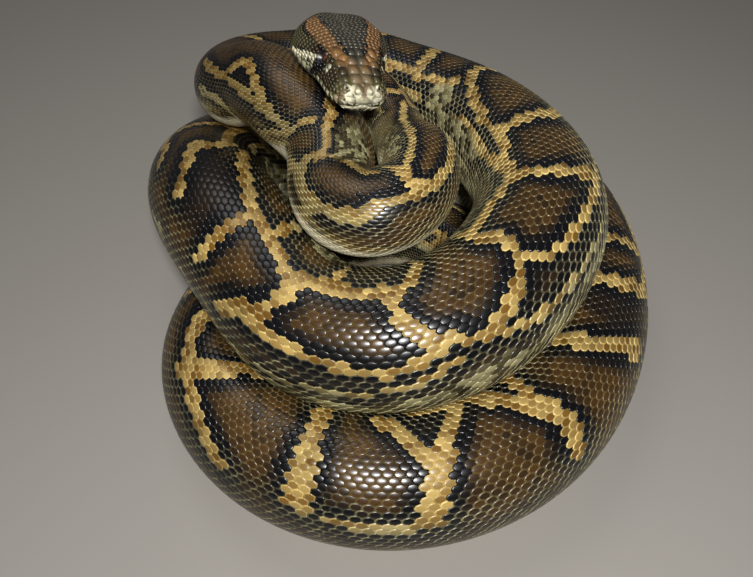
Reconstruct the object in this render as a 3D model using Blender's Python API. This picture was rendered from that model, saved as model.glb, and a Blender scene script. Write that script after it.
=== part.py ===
"""Burmese python lying in a heap of coils, life size.

The body is one tube that winds anticlockwise, seen from above, from the tail tip
in the middle of the heap out to the floor coil, up over the second coil, along
its back, round a bend at the left and down into the small loop on top, whose
neck doubles back so that the head faces forwards over the loop. The front is -Y.
Run it with: blender --background --python part.py
"""

import math

import bmesh
import bpy
import numpy as np
from mathutils import Matrix, Vector

MM = 0.001
NAME = "Coiled_python"

# Where the coils' own axis stands from the model's origin.
AXIS_X = -1.0
AXIS_Y = -2.9

# The body winds round the coils' axis: lengths are in millimetres, azimuths in degrees.
# A station is (azimuth, radius, height of the belly over the floor, turn of the back
# outwards) or, off the coils, (x, y from the coils' axis, height of the belly, turn).
HIND_BODY = (
    (-360, 30, 0, 0), (-300, 34, 0, 0), (-240, 46, 0, 0), (-180, 72, 0, 0),
    (-120, 82, 0, 0), (-60, 88, 0, 0), (0, 92, 0, 0), (60, 94, 0, 0),
    (120, 100, 0, 5), (165, 126, 0, 5), (210, 196, 0, 8),
)
# The floor coil and the second coil on it are ovals: (middle radius, swell, azimuth of
# the long way).
FLOOR_OVAL = (210, 18, 80)
SECOND_OVAL = (139, 8, 65)
COILS_FROM, COILS_TO, COIL_STEP = 240, 750, 30
CLIMB = (465, 555)              # azimuths between which the floor coil climbs to the second
SECOND_BELLY = 101              # height of the second coil's belly
# What swells and dies away along the coils: (azimuth of its middle, reach, size).
CLIMB_SWING = (510, 62, 58)     # the body swings outwards as it climbs
SECOND_SAG = (608, 96, 23)      # the second coil sags at the front
FLOOR_LEAN = (325, 215, 25)     # the back turns outwards, in degrees
SECOND_LEAN = (608, 116, 32)

BACK_STRAND = ((80, 142, 104, 5), (0, 202, 113, 4), (-55, 228, 120, 2))
# Arcs: (middle x, middle y, half width, half depth, first angle, last angle).
LEFT_BEND = (-98, 160, 70, 70, 95, 240)
LEFT_BEND_BELLY = (120, 188)    # at its start and end
LEFT_BEND_LEAN = 28
INTO_LOOP = ((-95, 50, 195, 20), (-62, 8, 184, -10))
SMALL_LOOP = (-20, -30, 38, 46, 180, 360)
SMALL_LOOP_BELLY = (176, 194)
SMALL_LOOP_TURN = (-14, 14)
SMALL_LOOP_LEAN = (0.55, 0.5, 18)     # middle and reach as shares of the arc, size
ARC_STATIONS = 5
# The neck comes out of the loop, doubles back and rises behind the head.
NECK = (
    (14, 2, 185, 5), (9, 42, 165, 0), (1, 80, 160, 0), (-13, 109, 172, 0),
    (-38, 118, 196, 0), (-56, 110, 224, -4), (-60, 91, 248, -12),
)

# Radius of the body at distances from the snout.
GIRTH = (
    (0, 22.5), (130, 22.5), (300, 30.5), (560, 39.5), (850, 43.5), (1140, 59.5), (1500, 61),
    (2100, 62), (2500, 62.5), (2800, 58), (3150, 47), (3450, 31), (3700, 14), (3830, 3),
)
BELLY_PRESS = 0.065        # share of the radius that the belly is pressed flat
SAMPLE = 4.0               # spacing of the centreline's samples

# Head, in its own frame: x to its right, y forwards, z up, from the snout's tip.
SNOUT = (-30.0, -15.0, 281.0)     # from the coils' axis, and over the floor
HEAD_LENGTH = 112.0
HEAD_YAW = 15.0            # turned to the animal's left, in degrees
HEAD_PITCH = -3.0          # nose lowered
HEAD_ROLL = 12.0           # left side lower
# Sections: (distance behind the snout, half width, height over and under the axis).
HEAD_SECTIONS = (
    (0.0, 9.0, 2.0, 3.5), (2.0, 15.5, 6.5, 7.0), (7.0, 21.0, 10.5, 9.5),
    (15.0, 24.5, 13.5, 11.5), (26.0, 26.5, 16.5, 13.5), (38.0, 28.0, 19.5, 15.5),
    (48.0, 30.5, 21.5, 18.0), (60.0, 35.5, 22.5, 20.5), (74.0, 40.5, 23.0, 22.0),
    (86.0, 41.5, 22.5, 22.5), (96.0, 38.0, 21.0, 22.0), (104.0, 31.0, 18.5, 22.0),
)
HEAD_SQUARENESS = 2.3      # exponent of the sections' superellipse
EYE_RADIUS = 5.2
EYE_BACK = 46.0            # behind the snout
EYE_SIDE = 21.0
EYE_UP = 12.0

# Nodes of the body: (name, where each ends, from the snout).
LENGTHS = (
    ("neck", 360), ("trunk_1", 660), ("trunk_2", 1000), ("trunk_3", 1350), ("trunk_4", 1700),
    ("trunk_5", 2050), ("trunk_6", 2400), ("trunk_7", 2750), ("trunk_8", 3060),
    ("trunk_9", 3350), ("tail", None),
)
SIDES = 20
HEAD_SIDES = 24
RING_SPACING = 23.0
CUT = 0.3                  # gap between neighbouring nodes
CONTACT_GAP = 0.6          # from each strand to the plane where two press together
NEIGHBOUR_REACH = 2.4      # radii along the body within which a strand isn't a neighbour

COLOURS = {
    "body": (0.23, 0.15, 0.06, 1.0),
    "head": (0.30, 0.20, 0.10, 1.0),
    "eye": (0.05, 0.03, 0.02, 1.0),
}


def natural_spline(knots, values, at):
    """Cubic spline through values at the knots, read at the places in at."""
    gaps = np.diff(knots)
    count = len(knots)
    matrix = np.eye(count)
    right = np.zeros((count, values.shape[1]))
    slopes = np.diff(values, axis=0) / gaps[:, None]
    for i in range(1, count - 1):
        matrix[i, i - 1:i + 2] = gaps[i - 1], 2 * (gaps[i - 1] + gaps[i]), gaps[i]
        right[i] = 6 * (slopes[i] - slopes[i - 1])
    bends = np.linalg.solve(matrix, right)
    i = np.clip(np.searchsorted(knots, at) - 1, 0, count - 2)
    h = gaps[i][:, None]
    a = (knots[i + 1] - at)[:, None]
    b = (at - knots[i])[:, None]
    return ((bends[i] * a ** 3 + bends[i + 1] * b ** 3) / (6 * h)
            + (values[i] / h - bends[i] * h / 6) * a
            + (values[i + 1] / h - bends[i + 1] * h / 6) * b)


def run_lengths(points):
    """Distance along a chain of points to each of them."""
    steps = np.linalg.norm(np.diff(points, axis=0), axis=1)
    return np.concatenate([[0.0], np.cumsum(steps)])


def girth(behind_snout):
    """Radius of the body at distances from the snout."""
    stations = np.array(GIRTH, float)
    return natural_spline(stations[:, 0], stations[:, 1:], np.asarray(behind_snout))[:, 0]


def head_direction():
    """Unit vector the head points along."""
    yaw, pitch = math.radians(HEAD_YAW), math.radians(HEAD_PITCH)
    return np.array([math.sin(yaw) * math.cos(pitch), -math.cos(yaw) * math.cos(pitch),
                     math.sin(pitch)])


def ease(share):
    """Smooth way from 0 to 1 for a share, held outside them."""
    share = min(max(share, 0.0), 1.0)
    return share * share * (3 - 2 * share)


def swell(at, middle, reach, size):
    """What rises to a size at its middle and dies away over its reach on each side."""
    share = min(abs(at - middle) / reach, 1.0)
    return size * math.cos(math.pi / 2 * share) ** 2


def oval_radius(azimuth, radius, widening, long_way):
    """Radius of an oval coil at an azimuth."""
    return radius + widening * math.cos(math.radians(2 * (azimuth - long_way)))


def coil_station(azimuth):
    """Station of the floor coil, the climb or the second coil at an azimuth."""
    climbed = ease((azimuth - CLIMB[0]) / (CLIMB[1] - CLIMB[0]))
    radius = ((1 - climbed) * oval_radius(azimuth, *FLOOR_OVAL)
              + climbed * oval_radius(azimuth, *SECOND_OVAL)
              + swell(azimuth, *CLIMB_SWING))
    belly = climbed * (SECOND_BELLY - swell(azimuth, *SECOND_SAG))
    turn = swell(azimuth, *FLOOR_LEAN) + swell(azimuth, *SECOND_LEAN)
    return azimuth, radius, belly, turn


def arc(middle_x, middle_y, half_width, half_depth, first, last):
    """Share of the way, x and y of each station along an oval arc."""
    for share in np.linspace(0, 1, ARC_STATIONS):
        angle = math.radians(first + (last - first) * share)
        yield (share, middle_x + half_width * math.cos(angle),
               middle_y + half_depth * math.sin(angle))


def left_bend():
    """Stations of the bend at the left, which rises and turns its back outwards."""
    low, high = LEFT_BEND_BELLY
    return [(x, y, low + (high - low) * share ** 1.5, LEFT_BEND_LEAN * share ** 2)
            for share, x, y in arc(*LEFT_BEND)]


def small_loop():
    """Stations of the small loop on top."""
    low, high = SMALL_LOOP_BELLY
    first, last = SMALL_LOOP_TURN
    return [(x, y, low + (high - low) * ease(share),
             first + (last - first) * share + swell(share, *SMALL_LOOP_LEAN))
            for share, x, y in arc(*SMALL_LOOP)]


def body_stations():
    """Stations from the tail's tip to the back of the head: x, y, belly's height, turn."""
    coils = list(HIND_BODY)
    coils += [coil_station(azimuth) for azimuth in range(COILS_FROM, COILS_TO + 1, COIL_STEP)]
    stations = [(radius * math.cos(math.radians(azimuth)),
                 radius * math.sin(math.radians(azimuth)), belly, turn)
                for azimuth, radius, belly, turn in coils]
    return (stations + list(BACK_STRAND) + left_bend() + list(INTO_LOOP) + small_loop()
            + list(NECK))


class Centreline:
    """The body's centreline, sampled evenly, with its frames and radii, in mm."""

    def __init__(self):
        stations = body_stations()
        radius = float(girth([0.0])[0])
        for behind in (HEAD_LENGTH / 2, 0):
            x, y, z = np.array(SNOUT) - behind * head_direction()
            stations.append((x, y, z - radius * (1 - BELLY_PRESS), -HEAD_ROLL))
        stations = np.array(stations, float)
        knots = run_lengths(stations[:, :3])
        fine = natural_spline(knots, stations, np.linspace(0, knots[-1], 3000))
        points = fine[:, :3].copy()
        for _ in range(3):
            run = run_lengths(points)
            radii = girth(run[-1] - run)
            points[:, 2] = fine[:, 2] + radii * (1 - BELLY_PRESS)
        run = run_lengths(points)
        count = int(run[-1] / SAMPLE)
        at = np.linspace(0, run[-1], count)
        self.points = np.stack([np.interp(at, run, points[:, k]) for k in range(3)], axis=1)
        self.points += (AXIS_X, AXIS_Y, 0)
        self.behind_snout = run[-1] - at
        self.radii = girth(self.behind_snout)
        turn = np.radians(np.interp(at, run, fine[:, 3]))
        along = np.gradient(self.points, axis=0)
        self.along = along / np.linalg.norm(along, axis=1)[:, None]
        upright = np.array([0, 0, 1.0]) - self.along[:, 2:3] * self.along
        upright /= np.linalg.norm(upright, axis=1)[:, None]
        outwards = np.cross(self.along, upright)
        self.back = upright * np.cos(turn)[:, None] + outwards * np.sin(turn)[:, None]
        self.right = np.cross(self.along, self.back)

    def at(self, behind_snout):
        """Centre, frame and radius at a distance from the snout."""
        order = slice(None, None, -1)
        read = lambda rows: np.stack([np.interp(behind_snout, self.behind_snout[order],
                                                rows[order, k]) for k in range(3)])
        frame = [read(rows) for rows in (self.back, self.right)]
        frame = [axis / np.linalg.norm(axis) for axis in frame]
        return read(self.points), frame[0], frame[1], float(girth([behind_snout])[0])

    def press(self, centre, radius, behind_snout, ring):
        """Flatten a ring where it meets the floor and the strands next to it."""
        reach = NEIGHBOUR_REACH * (radius + self.radii) / 2
        to_other = self.points - centre
        distance = np.linalg.norm(to_other, axis=1)
        near = (abs(self.behind_snout - behind_snout) > reach) & (distance < radius + self.radii)
        spokes = ring - centre
        share = np.ones(len(ring))
        for k in np.nonzero(near)[0]:
            towards = spokes @ to_other[k] / distance[k]
            wall = (distance[k] ** 2 + radius ** 2 - self.radii[k] ** 2) / (2 * distance[k])
            wall -= CONTACT_GAP
            hits = towards > wall
            share[hits] = np.minimum(share[hits], wall / towards[hits])
        pressed = centre + spokes * share[:, None]
        low = pressed[:, 2] < 0
        drop = centre[2] / (centre[2] - pressed[low, 2])
        pressed[low] = centre + (pressed[low] - centre) * drop[:, None]
        return pressed


def body_ring(line, behind_snout, sides=SIDES):
    """One ring of points round the body."""
    centre, back, right, radius = line.at(behind_snout)
    angles = np.linspace(0, 2 * math.pi, sides, endpoint=False)
    ring = centre + radius * (np.cos(angles)[:, None] * back + np.sin(angles)[:, None] * right)
    return line.press(centre, radius, behind_snout, ring)


def material(name):
    """Plain Principled material in one of the colours above."""
    made = bpy.data.materials.new("python_" + name)
    made.use_nodes = True
    shader = made.node_tree.nodes["Principled BSDF"]
    shader.inputs["Base Color"].default_value = COLOURS[name]
    shader.inputs["Roughness"].default_value = 0.35
    shader.inputs["Metallic"].default_value = 0.0
    return made


def new_object(name, mesh, finish, collection):
    """Object of a mesh, with its finish, in a collection."""
    made = bpy.data.objects.new(name, mesh)
    made.data.materials.append(finish)
    collection.objects.link(made)
    return made


def loft(name, rings, finish, collection):
    """Closed solid through rings of points given in mm, shaded smooth."""
    sheet = bmesh.new()
    rows = [[sheet.verts.new(Vector(point) * MM) for point in ring] for ring in rings]
    for row, following in zip(rows, rows[1:]):
        for k in range(len(row)):
            after = (k + 1) % len(row)
            sheet.faces.new((row[k], row[after], following[after], following[k]))
    sheet.faces.new(rows[0])
    sheet.faces.new(rows[-1])
    bmesh.ops.recalc_face_normals(sheet, faces=sheet.faces)
    mesh = bpy.data.meshes.new(name)
    sheet.to_mesh(mesh)
    sheet.free()
    mesh.shade_smooth()
    return new_object(name, mesh, finish, collection)


def make_body(line, collection):
    """Neck, trunk lengths and tail, parted by thin cuts."""
    finish = material("body")
    start = HEAD_LENGTH
    for name, end in LENGTHS:
        last = line.behind_snout[0] if end is None else end - CUT / 2
        first = start + CUT / 2
        count = max(3, math.ceil((last - first) / RING_SPACING) + 1)
        rings = [body_ring(line, place) for place in np.linspace(first, last, count)]
        loft(name, rings, finish, collection)
        start = end


def head_frame():
    """Matrix from the head's frame (x to its right, y forwards, z up) to the model's."""
    snout = Vector((SNOUT[0] + AXIS_X, SNOUT[1] + AXIS_Y, SNOUT[2])) * MM
    turn = (Matrix.Rotation(math.radians(HEAD_YAW), 4, "Z")
            @ Matrix.Rotation(math.pi, 4, "Z")
            @ Matrix.Rotation(math.radians(HEAD_PITCH), 4, "X")
            @ Matrix.Rotation(math.radians(-HEAD_ROLL), 4, "Y"))
    return Matrix.Translation(snout) @ turn


def head_ring(section, frame):
    """Superellipse section of the head, as points in mm."""
    behind, half, over, under = section
    ring = []
    for k in range(HEAD_SIDES):
        angle = 2 * math.pi * k / HEAD_SIDES
        c, s = math.cos(angle), math.sin(angle)
        size = (abs(c) ** HEAD_SQUARENESS + abs(s) ** HEAD_SQUARENESS) ** (-1 / HEAD_SQUARENESS)
        rise = over if c > 0 else under
        local = Vector((half * s * size, -behind, rise * c * size)) * MM
        ring.append((frame @ local) / MM)
    return ring


def make_head(line, collection, cutters):
    """Head with its two eyes set in sockets."""
    frame = head_frame()
    rings = [head_ring(section, frame) for section in HEAD_SECTIONS]
    rings.append(body_ring(line, HEAD_LENGTH - CUT / 2, HEAD_SIDES))
    head = loft("head", rings, material("head"), collection)
    finish = material("eye")
    for name, side in (("eye_right", 1), ("eye_left", -1)):
        local = Vector((side * EYE_SIDE, -EYE_BACK, EYE_UP)) * MM
        place = frame @ Matrix.Translation(local)
        socket = ball("socket_" + name, EYE_RADIUS + CUT, place, finish, cutters)
        socket.hide_render = True
        socket.display_type = "WIRE"
        ball(name, EYE_RADIUS, place, finish, collection)
        cut = head.modifiers.new("Socket " + name, "BOOLEAN")
        cut.operation = "DIFFERENCE"
        cut.object = socket


def ball(name, radius, place, finish, collection):
    """Sphere of a radius in mm."""
    sheet = bmesh.new()
    bmesh.ops.create_uvsphere(sheet, u_segments=14, v_segments=9, radius=radius * MM)
    mesh = bpy.data.meshes.new(name)
    sheet.to_mesh(mesh)
    sheet.free()
    mesh.shade_smooth()
    made = new_object(name, mesh, finish, collection)
    made.matrix_world = place
    return made


def main():
    for old in list(bpy.data.objects):
        bpy.data.objects.remove(old, do_unlink=True)
    collection = bpy.data.collections.new(NAME)
    cutters = bpy.data.collections.new(NAME + "_cutters")
    for made in (collection, cutters):
        bpy.context.scene.collection.children.link(made)
    line = Centreline()
    make_body(line, collection)
    make_head(line, collection, cutters)


main()
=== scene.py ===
"""Looks of the coiled Burmese python: its skin, scales, shields and eyes, and the studio.

The body's route and girth repeat the ones that the frame's solids were made from, so every scale is
placed by two numbers: how far behind the snout it lies and its angle round the body from the back.
"""

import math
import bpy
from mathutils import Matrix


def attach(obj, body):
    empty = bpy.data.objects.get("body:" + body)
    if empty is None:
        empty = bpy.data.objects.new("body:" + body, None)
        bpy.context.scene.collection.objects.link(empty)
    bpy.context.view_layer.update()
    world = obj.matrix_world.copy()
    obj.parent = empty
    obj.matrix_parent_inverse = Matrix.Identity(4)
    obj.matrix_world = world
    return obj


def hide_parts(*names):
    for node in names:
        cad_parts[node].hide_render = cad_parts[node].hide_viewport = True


bl_info = {
    "name": "Coiled Burmese Python",
    "version": (1, 0, 0),
    "blender": (4, 5, 0),
    "location": "View3D > Sidebar > Python",
    "description": "Builds the skin, scales, head shields and eyes of a coiled Burmese python",
    "category": "Object",
}

import bmesh
import bpy
import numpy as np
from bpy.props import FloatProperty, FloatVectorProperty, IntProperty, PointerProperty
from mathutils import Vector
from mathutils.bvhtree import BVHTree

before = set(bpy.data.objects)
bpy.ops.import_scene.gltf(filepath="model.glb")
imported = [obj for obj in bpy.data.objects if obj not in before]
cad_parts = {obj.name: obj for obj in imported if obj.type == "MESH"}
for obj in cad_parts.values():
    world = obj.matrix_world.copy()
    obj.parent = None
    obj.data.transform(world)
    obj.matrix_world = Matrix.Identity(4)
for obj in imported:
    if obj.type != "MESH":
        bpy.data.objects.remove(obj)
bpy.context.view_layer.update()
MM = 0.001

# ---------------------------------------------------------------- the body's route, in millimetres

AXIS_X = -1.0              # the coils' axis, from the model's origin
AXIS_Y = -2.9

# The body winds round the coils' axis: lengths are in millimetres, azimuths in degrees.
# A station is (azimuth, radius, height of the belly over the floor, turn of the back
# outwards) or, off the coils, (x, y from the coils' axis, height of the belly, turn).
HIND_BODY = (
    (-360, 30, 0, 0), (-300, 34, 0, 0), (-240, 46, 0, 0), (-180, 72, 0, 0),
    (-120, 82, 0, 0), (-60, 88, 0, 0), (0, 92, 0, 0), (60, 94, 0, 0),
    (120, 100, 0, 5), (165, 126, 0, 5), (210, 196, 0, 8),
)
# The floor coil and the second coil on it are ovals: (middle radius, swell, azimuth of
# the long way).
FLOOR_OVAL = (210, 18, 80)
SECOND_OVAL = (139, 8, 65)
COILS_FROM, COILS_TO, COIL_STEP = 240, 750, 30
CLIMB = (465, 555)              # azimuths between which the floor coil climbs to the second
SECOND_BELLY = 101              # height of the second coil's belly
# What swells and dies away along the coils: (azimuth of its middle, reach, size).
CLIMB_SWING = (510, 62, 58)     # the body swings outwards as it climbs
SECOND_SAG = (608, 96, 23)      # the second coil sags at the front
FLOOR_LEAN = (325, 215, 25)     # the back turns outwards, in degrees
SECOND_LEAN = (608, 116, 32)

BACK_STRAND = ((80, 142, 104, 5), (0, 202, 113, 4), (-55, 228, 120, 2))
# Arcs: (middle x, middle y, half width, half depth, first angle, last angle).
LEFT_BEND = (-98, 160, 70, 70, 95, 240)
LEFT_BEND_BELLY = (120, 188)    # at its start and end
LEFT_BEND_LEAN = 28
INTO_LOOP = ((-95, 50, 195, 20), (-62, 8, 184, -10))
SMALL_LOOP = (-20, -30, 38, 46, 180, 360)
SMALL_LOOP_BELLY = (176, 194)
SMALL_LOOP_TURN = (-14, 14)
SMALL_LOOP_LEAN = (0.55, 0.5, 18)     # middle and reach as shares of the arc, size
ARC_STATIONS = 5
# The neck comes out of the loop, doubles back and rises behind the head.
NECK = (
    (14, 2, 185, 5), (9, 42, 165, 0), (1, 80, 160, 0), (-13, 109, 172, 0),
    (-38, 118, 196, 0), (-56, 110, 224, -4), (-60, 91, 248, -12),
)

# Radius of the body at distances from the snout.
GIRTH = (
    (0, 22.5), (130, 22.5), (300, 30.5), (560, 39.5), (850, 43.5), (1140, 59.5), (1500, 61),
    (2100, 62), (2500, 62.5), (2800, 58), (3150, 47), (3450, 31), (3700, 14), (3830, 3),
)
BELLY_PRESS = 0.065
SAMPLE = 2.0
SECTORS = 120              # directions round the body in which its pressed radius is kept
CONTACT_GAP = 0.6
NEIGHBOUR_REACH = 2.4
LEAST_COSINE = 0.02        # directions that lean less than this towards a plane never meet it
FAR_OFF = 1e9

# Head, in its own frame: x to its right, y forwards, z up, from the snout's tip.
SNOUT = (-30.0, -15.0, 281.0)
HEAD_LENGTH = 112.0
HEAD_YAW = 15.0
HEAD_PITCH = -3.0
HEAD_ROLL = 12.0
# Sections: (distance behind the snout, half width, height over and under the axis).
HEAD_SECTIONS = (
    (0.0, 9.0, 2.0, 3.5), (2.0, 15.5, 6.5, 7.0), (7.0, 21.0, 10.5, 9.5),
    (15.0, 24.5, 13.5, 11.5), (26.0, 26.5, 16.5, 13.5), (38.0, 28.0, 19.5, 15.5),
    (48.0, 30.5, 21.5, 18.0), (60.0, 35.5, 22.5, 20.5), (74.0, 40.5, 23.0, 22.0),
    (86.0, 41.5, 22.5, 22.5), (96.0, 38.0, 21.5, 22.5), (104.0, 31.0, 21.0, 22.5),
    (112.0, 25.0, 22.0, 22.5), (122.0, 22.5, 22.5, 22.5), (140.0, 22.5, 22.5, 22.5),
)
HEAD_SQUARENESS = 2.3
EYE_RADIUS = 5.2
EYE_BACK = 46.0
EYE_SIDE = 21.0
EYE_UP = 12.0
EYE_OUT = 26.0             # how far to the side the skin lies at the eye
NOSTRIL_BACK, NOSTRIL_SIDE = 6.5, 13.0
BLEND_FROM, BLEND_TO = 98.0, 128.0     # where the head's sections give way to the neck's tube
HEAD_END = 140             # the sections, and the head's unwrap, end here
HEAD_ANGLES = 240          # directions round the head in its unwrap
CAP = 3.0                  # the snout's flat tip takes up this much, before 0
# Line of the mouth: (behind the snout, height from the head's axis).
MOUTH = ((0, -2.4), (5, -4.2), (15, -6.6), (35, -8.2), (58, -9.4), (78, -7.0), (92, -3.5))
MOUTH_CORNER = 91.0

BODY_NODES = ("neck",) + tuple(f"trunk_{k}" for k in range(1, 10)) + ("tail",)

# ---------------------------------------------------------------- the markings

# The tan net that parts the dark saddles and side spots, as strokes of a brush: the stroke's width
# in mm, then the points that it passes. A point is a distance behind the snout and an angle round
# the body in degrees, from the middle of the back to the animal's right.
NET = (
    # neck, right limb and front of the small loop
    (7, (235, 18), (260, 6), (285, -3), (310, -12), (335, -18), (356, -26), (380, -29), (396, -24),
     (408, -12)),
    (7, (412, -40), (409, -18), (409, 0), (405, 20)),
    (8, (345, 46), (372, 33), (398, 25), (428, 20), (438, 34), (456, 52), (478, 56), (499, 46)),
    (13, (462, 56), (478, 62), (492, 58)),
    (9, (464, 60), (469, 80), (476, 108)),
    (11, (486, 52), (497, 68), (510, 84), (530, 98), (566, 104)),
    (9, (425, -33), (455, -28), (474, -15), (487, 8), (493, 28), (499, 46)),
    (8, (490, 28), (505, 20), (525, 18), (541, 9), (553, -3), (562, -20), (572, -38), (584, -62)),
    (8, (549, 32), (554, 56)),
    # bend at the left, and its near limb
    (8, (554, 64), (571, 54), (590, 42), (602, 28), (613, 16), (623, 5), (631, 0), (641, 9),
     (652, 23)),
    (8, (585, 48), (602, 40), (640, 33), (665, 27), (700, 18)),
    (8, (556, 64), (578, 72), (600, 92)),
    (9, (700, 58), (668, 68), (655, 95)),
    # second coil, its inner side from the left round to the right
    (12, (1699, -38), (1694, -16), (1700, -8), (1682, 3), (1658, 23)),
    (12, (1692, -50), (1659, -43), (1632, -36), (1602, -28), (1569, -31), (1549, -28), (1515, -26),
     (1499, -30), (1465, -31), (1415, -33), (1402, -43), (1400, -66)),
    (12, (1332, -64), (1332, -34), (1324, -16), (1330, 1), (1355, 19), (1379, 29)),
    (11, (1332, -42), (1299, -46), (1277, -42), (1250, -35), (1203, -38), (1176, -35), (1107, -36),
     (1073, -22), (1058, -4), (1056, 26)),
    (9, (1228, -42), (1183, -52), (1146, -57), (1100, -56), (1070, -66)),
    (12, (1570, -31), (1573, -64)), (9, (1482, -31), (1484, -64)), (10, (1050, -24), (1046, -60)),
    # second coil, bands across its back
    (12, (1597, -28), (1597, 0), (1599, 34)),
    (13, (1514, -26), (1515, -6), (1525, 13), (1539, 26), (1552, 40)),
    (13, (1439, -31), (1427, -9), (1419, 6), (1396, 20)),
    (13, (1248, -35), (1240, -2), (1228, 28), (1222, 46)),
    (15, (1157, -34), (1154, 0), (1149, 24), (1138, 46)),
    # second coil, its outer side
    (9, (1537, 26), (1499, 24), (1465, 29), (1432, 33), (1396, 22), (1379, 28), (1365, 25)),
    (9, (1330, 2), (1310, 20), (1289, 28), (1254, 37), (1220, 48), (1186, 56)),
    (8, (1379, 28), (1364, 36), (1342, 44), (1302, 51), (1257, 60)),
    (6, (1396, 34), (1424, 46), (1462, 52), (1502, 57), (1542, 64)),
    # floor coil, from its right side to its left
    (15, (2440, -26), (2434, 0), (2422, 30)),
    (15, (2526, -38), (2505, 0), (2482, 32)),
    (16, (2632, -48), (2599, -20), (2584, 0), (2584, 36)),
    (12, (2592, -44), (2590, -18)),
    (18, (2680, 0), (2690, 38)), (14, (2724, -42), (2696, -17), (2681, 2)),
    (15, (2644, -52), (2660, -32), (2680, 2)), (12, (2692, -50), (2632, -52)),
    (18, (2776, -62), (2775, 0), (2773, 40)),
    (16, (2854, -46), (2870, -28), (2886, 0), (2904, 26)),
    (14, (2952, 4), (2917, 15), (2886, 24), (2858, 34), (2832, 45)),
    (15, (2982, -40), (2957, -10), (2927, 12)),
    (9, (2757, 46), (2717, 50), (2687, 46)),
)
# Stretches where the net follows a plain rhythm: (from, to, spacing of the saddles).
PLAIN_NET = ((120, 240, 60), (740, 1040, 84), (1714, 2422, 87), (2992, 3780, 78))
SIDE_LINE = 33.0           # degrees from the back at which the saddles end there
LOW_LINE = 62.0            # and at which the side spots end
# Where the markings depart from the net: (behind the snout, degrees, half length in mm, half width
# in degrees). In the shaded cells the brown middle is painted out almost to black: painted shade
# where those cells lie in shadow. In patches the net runs together, mottled olive and cream.
PAINTED_SHADE_CELLS = ((1648, 0, 44, 34), (2458, 0, 26, 50), (1432, -52, 30, 18), (622, 42, 34, 11))
PATCHES = ((505, -18, 36, 30), (362, -58, 34, 16), (1380, 64, 26, 14), (1105, -66, 62, 11),
           (1536, -74, 62, 14), (1048, -52, 20, 18))
BORDER = 10.5              # width of a saddle's black edge
# Where the looks change, from and to. Behind the snout, in mm: the neck's net gives way to the
# trunk's, and the floor coil starts. In degrees from the back: the flank, its dashes, the belly.
NECK_FADES = (600, 780)
FLOOR_COIL = (2380, 2460)
FLANK = (38, 60)
DASHED_FLANK = (54, 76)
BELLY_EDGE = (96, 116)
LIP_SPOTS = (20.0, 29.0, 62.0, 73.0, 84.0)     # dark spots on the upper lip, behind the snout
# Tan bands of the crown: (behind the snout, inner edge, outer edge, from the midline in mm).
BANDS = (
    (0, 9.0, 9.0), (14, 2.0, 9.0), (22, 2.0, 11.0), (30, 5.0, 13.5), (40, 8.5, 19.5),
    (50, 11.5, 24.0), (60, 14.5, 28.0), (70, 17.0, 32.0), (80, 20.0, 35.5), (90, 22.5, 35.0),
    (100, 18.5, 28.5), (110, 12.5, 19.5), (140, 10.5, 16.5),
)

# ---------------------------------------------------------- scales and shields, in millimetres

# Pieces of the scaled body: (name, where it ends behind the snout).
LENGTHS = (
    ("neck", 360), ("trunk_1", 660), ("trunk_2", 1000), ("trunk_3", 1350), ("trunk_4", 1700),
    ("trunk_5", 2050), ("trunk_6", 2400), ("trunk_7", 2750), ("trunk_8", 3060),
    ("trunk_9", 3350), ("tail", 3800),
)
SCALES_FROM = 116.0        # the head shields end here, behind the snout
PATCH = 0.003              # width of one scale's patch on the bake's map
SCALE_WIDTH = 0.52 * 4 / 3  # half a scale's width as a share of the rows' spacing
MAP_MARGIN = 0.02          # free edge of the bake's map
SKIN_SIDES = 200           # directions round the body in the skin's mesh
SKIN_STEP = 10.5           # spacing of the skin's rings along the body
HEAD_STEP = 0.9            # and along the head
HEAD_SKIN_DEPTH = 0.35     # how far the skin lies under the head's shields
FULL_GIRTH = 60.0          # from this radius on scales have their full height
LEAST_HEIGHT = 0.4         # share of it that they keep on the thinnest part
TAIL_ROWS, TAIL_PITCH = 33, 0.24
PLAIN_FROM = 3000          # pieces that end beyond this are hidden: their scales have six corners
FINE_CORNERS, PLAIN_CORNERS = 8, 6
SCALE_INSET, SCALE_TIP = 0.34, 0.22    # rim of a scale, and how far its tip is drawn out
SCALE_LAP = 1.06           # a scale's length over the rows' pitch
ROOT_HEIGHT = -0.25        # root of a scale or belly shield, under the skin's surface
SKIN_SHADE = 0.5           # colour of the skin between the scales as a share of theirs
ROOT_SHADE = 0.25          # and of a scale's root as a share of its rim's
LEAST_PITCH = 2.2          # rows of scales never come closer than this
HEAD_MAP = (140.0, 230.0)  # length and width of the head on the bake's map
HEAD_MAP_START = 8.0
SHIELD_GAP = 0.13          # groove between a shield's edge and its limit
SHIELD_NEIGHBOURS = 14     # how many shields may limit one
SHIELD_SQUARENESS = 9      # the higher, the sharper its corners
SHIELD_GROWTH = 1.5        # its reach at most, over its own size
SMALL_ROOM = 0.42          # share of a small scale's width that stays clear of other shields' rooms
SMALL_STEP = 0.92          # spacing of their rings over their length
# Shields of the crown and snout: (behind the snout, from the midline, half length, half width).
# Each that lies off the midline is one of a pair.
CROWN_SHIELDS = (
    (0.3, 0, 3.0, 5.6),                                 # rostral
    (6.3, 5.0, 4.4, 4.6),                               # internasals
    (3.4, 11.5, 2.4, 2.4), (9.8, 14.2, 2.8, 2.8),       # nasals, before and behind the nostril
    (15.2, 5.2, 4.6, 5.0), (24.4, 5.0, 4.6, 4.9),       # prefrontals
    (15.4, 14.0, 3.6, 3.4), (23.4, 14.6, 3.8, 3.8), (31.6, 16.2, 3.8, 3.8),
    (34.0, 4.4, 4.8, 4.2), (43.2, 3.6, 4.2, 3.4),       # frontals
    (45.0, 16.6, 6.6, 4.4), (37.6, 11.8, 3.0, 3.0),     # above the eye
)
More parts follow.
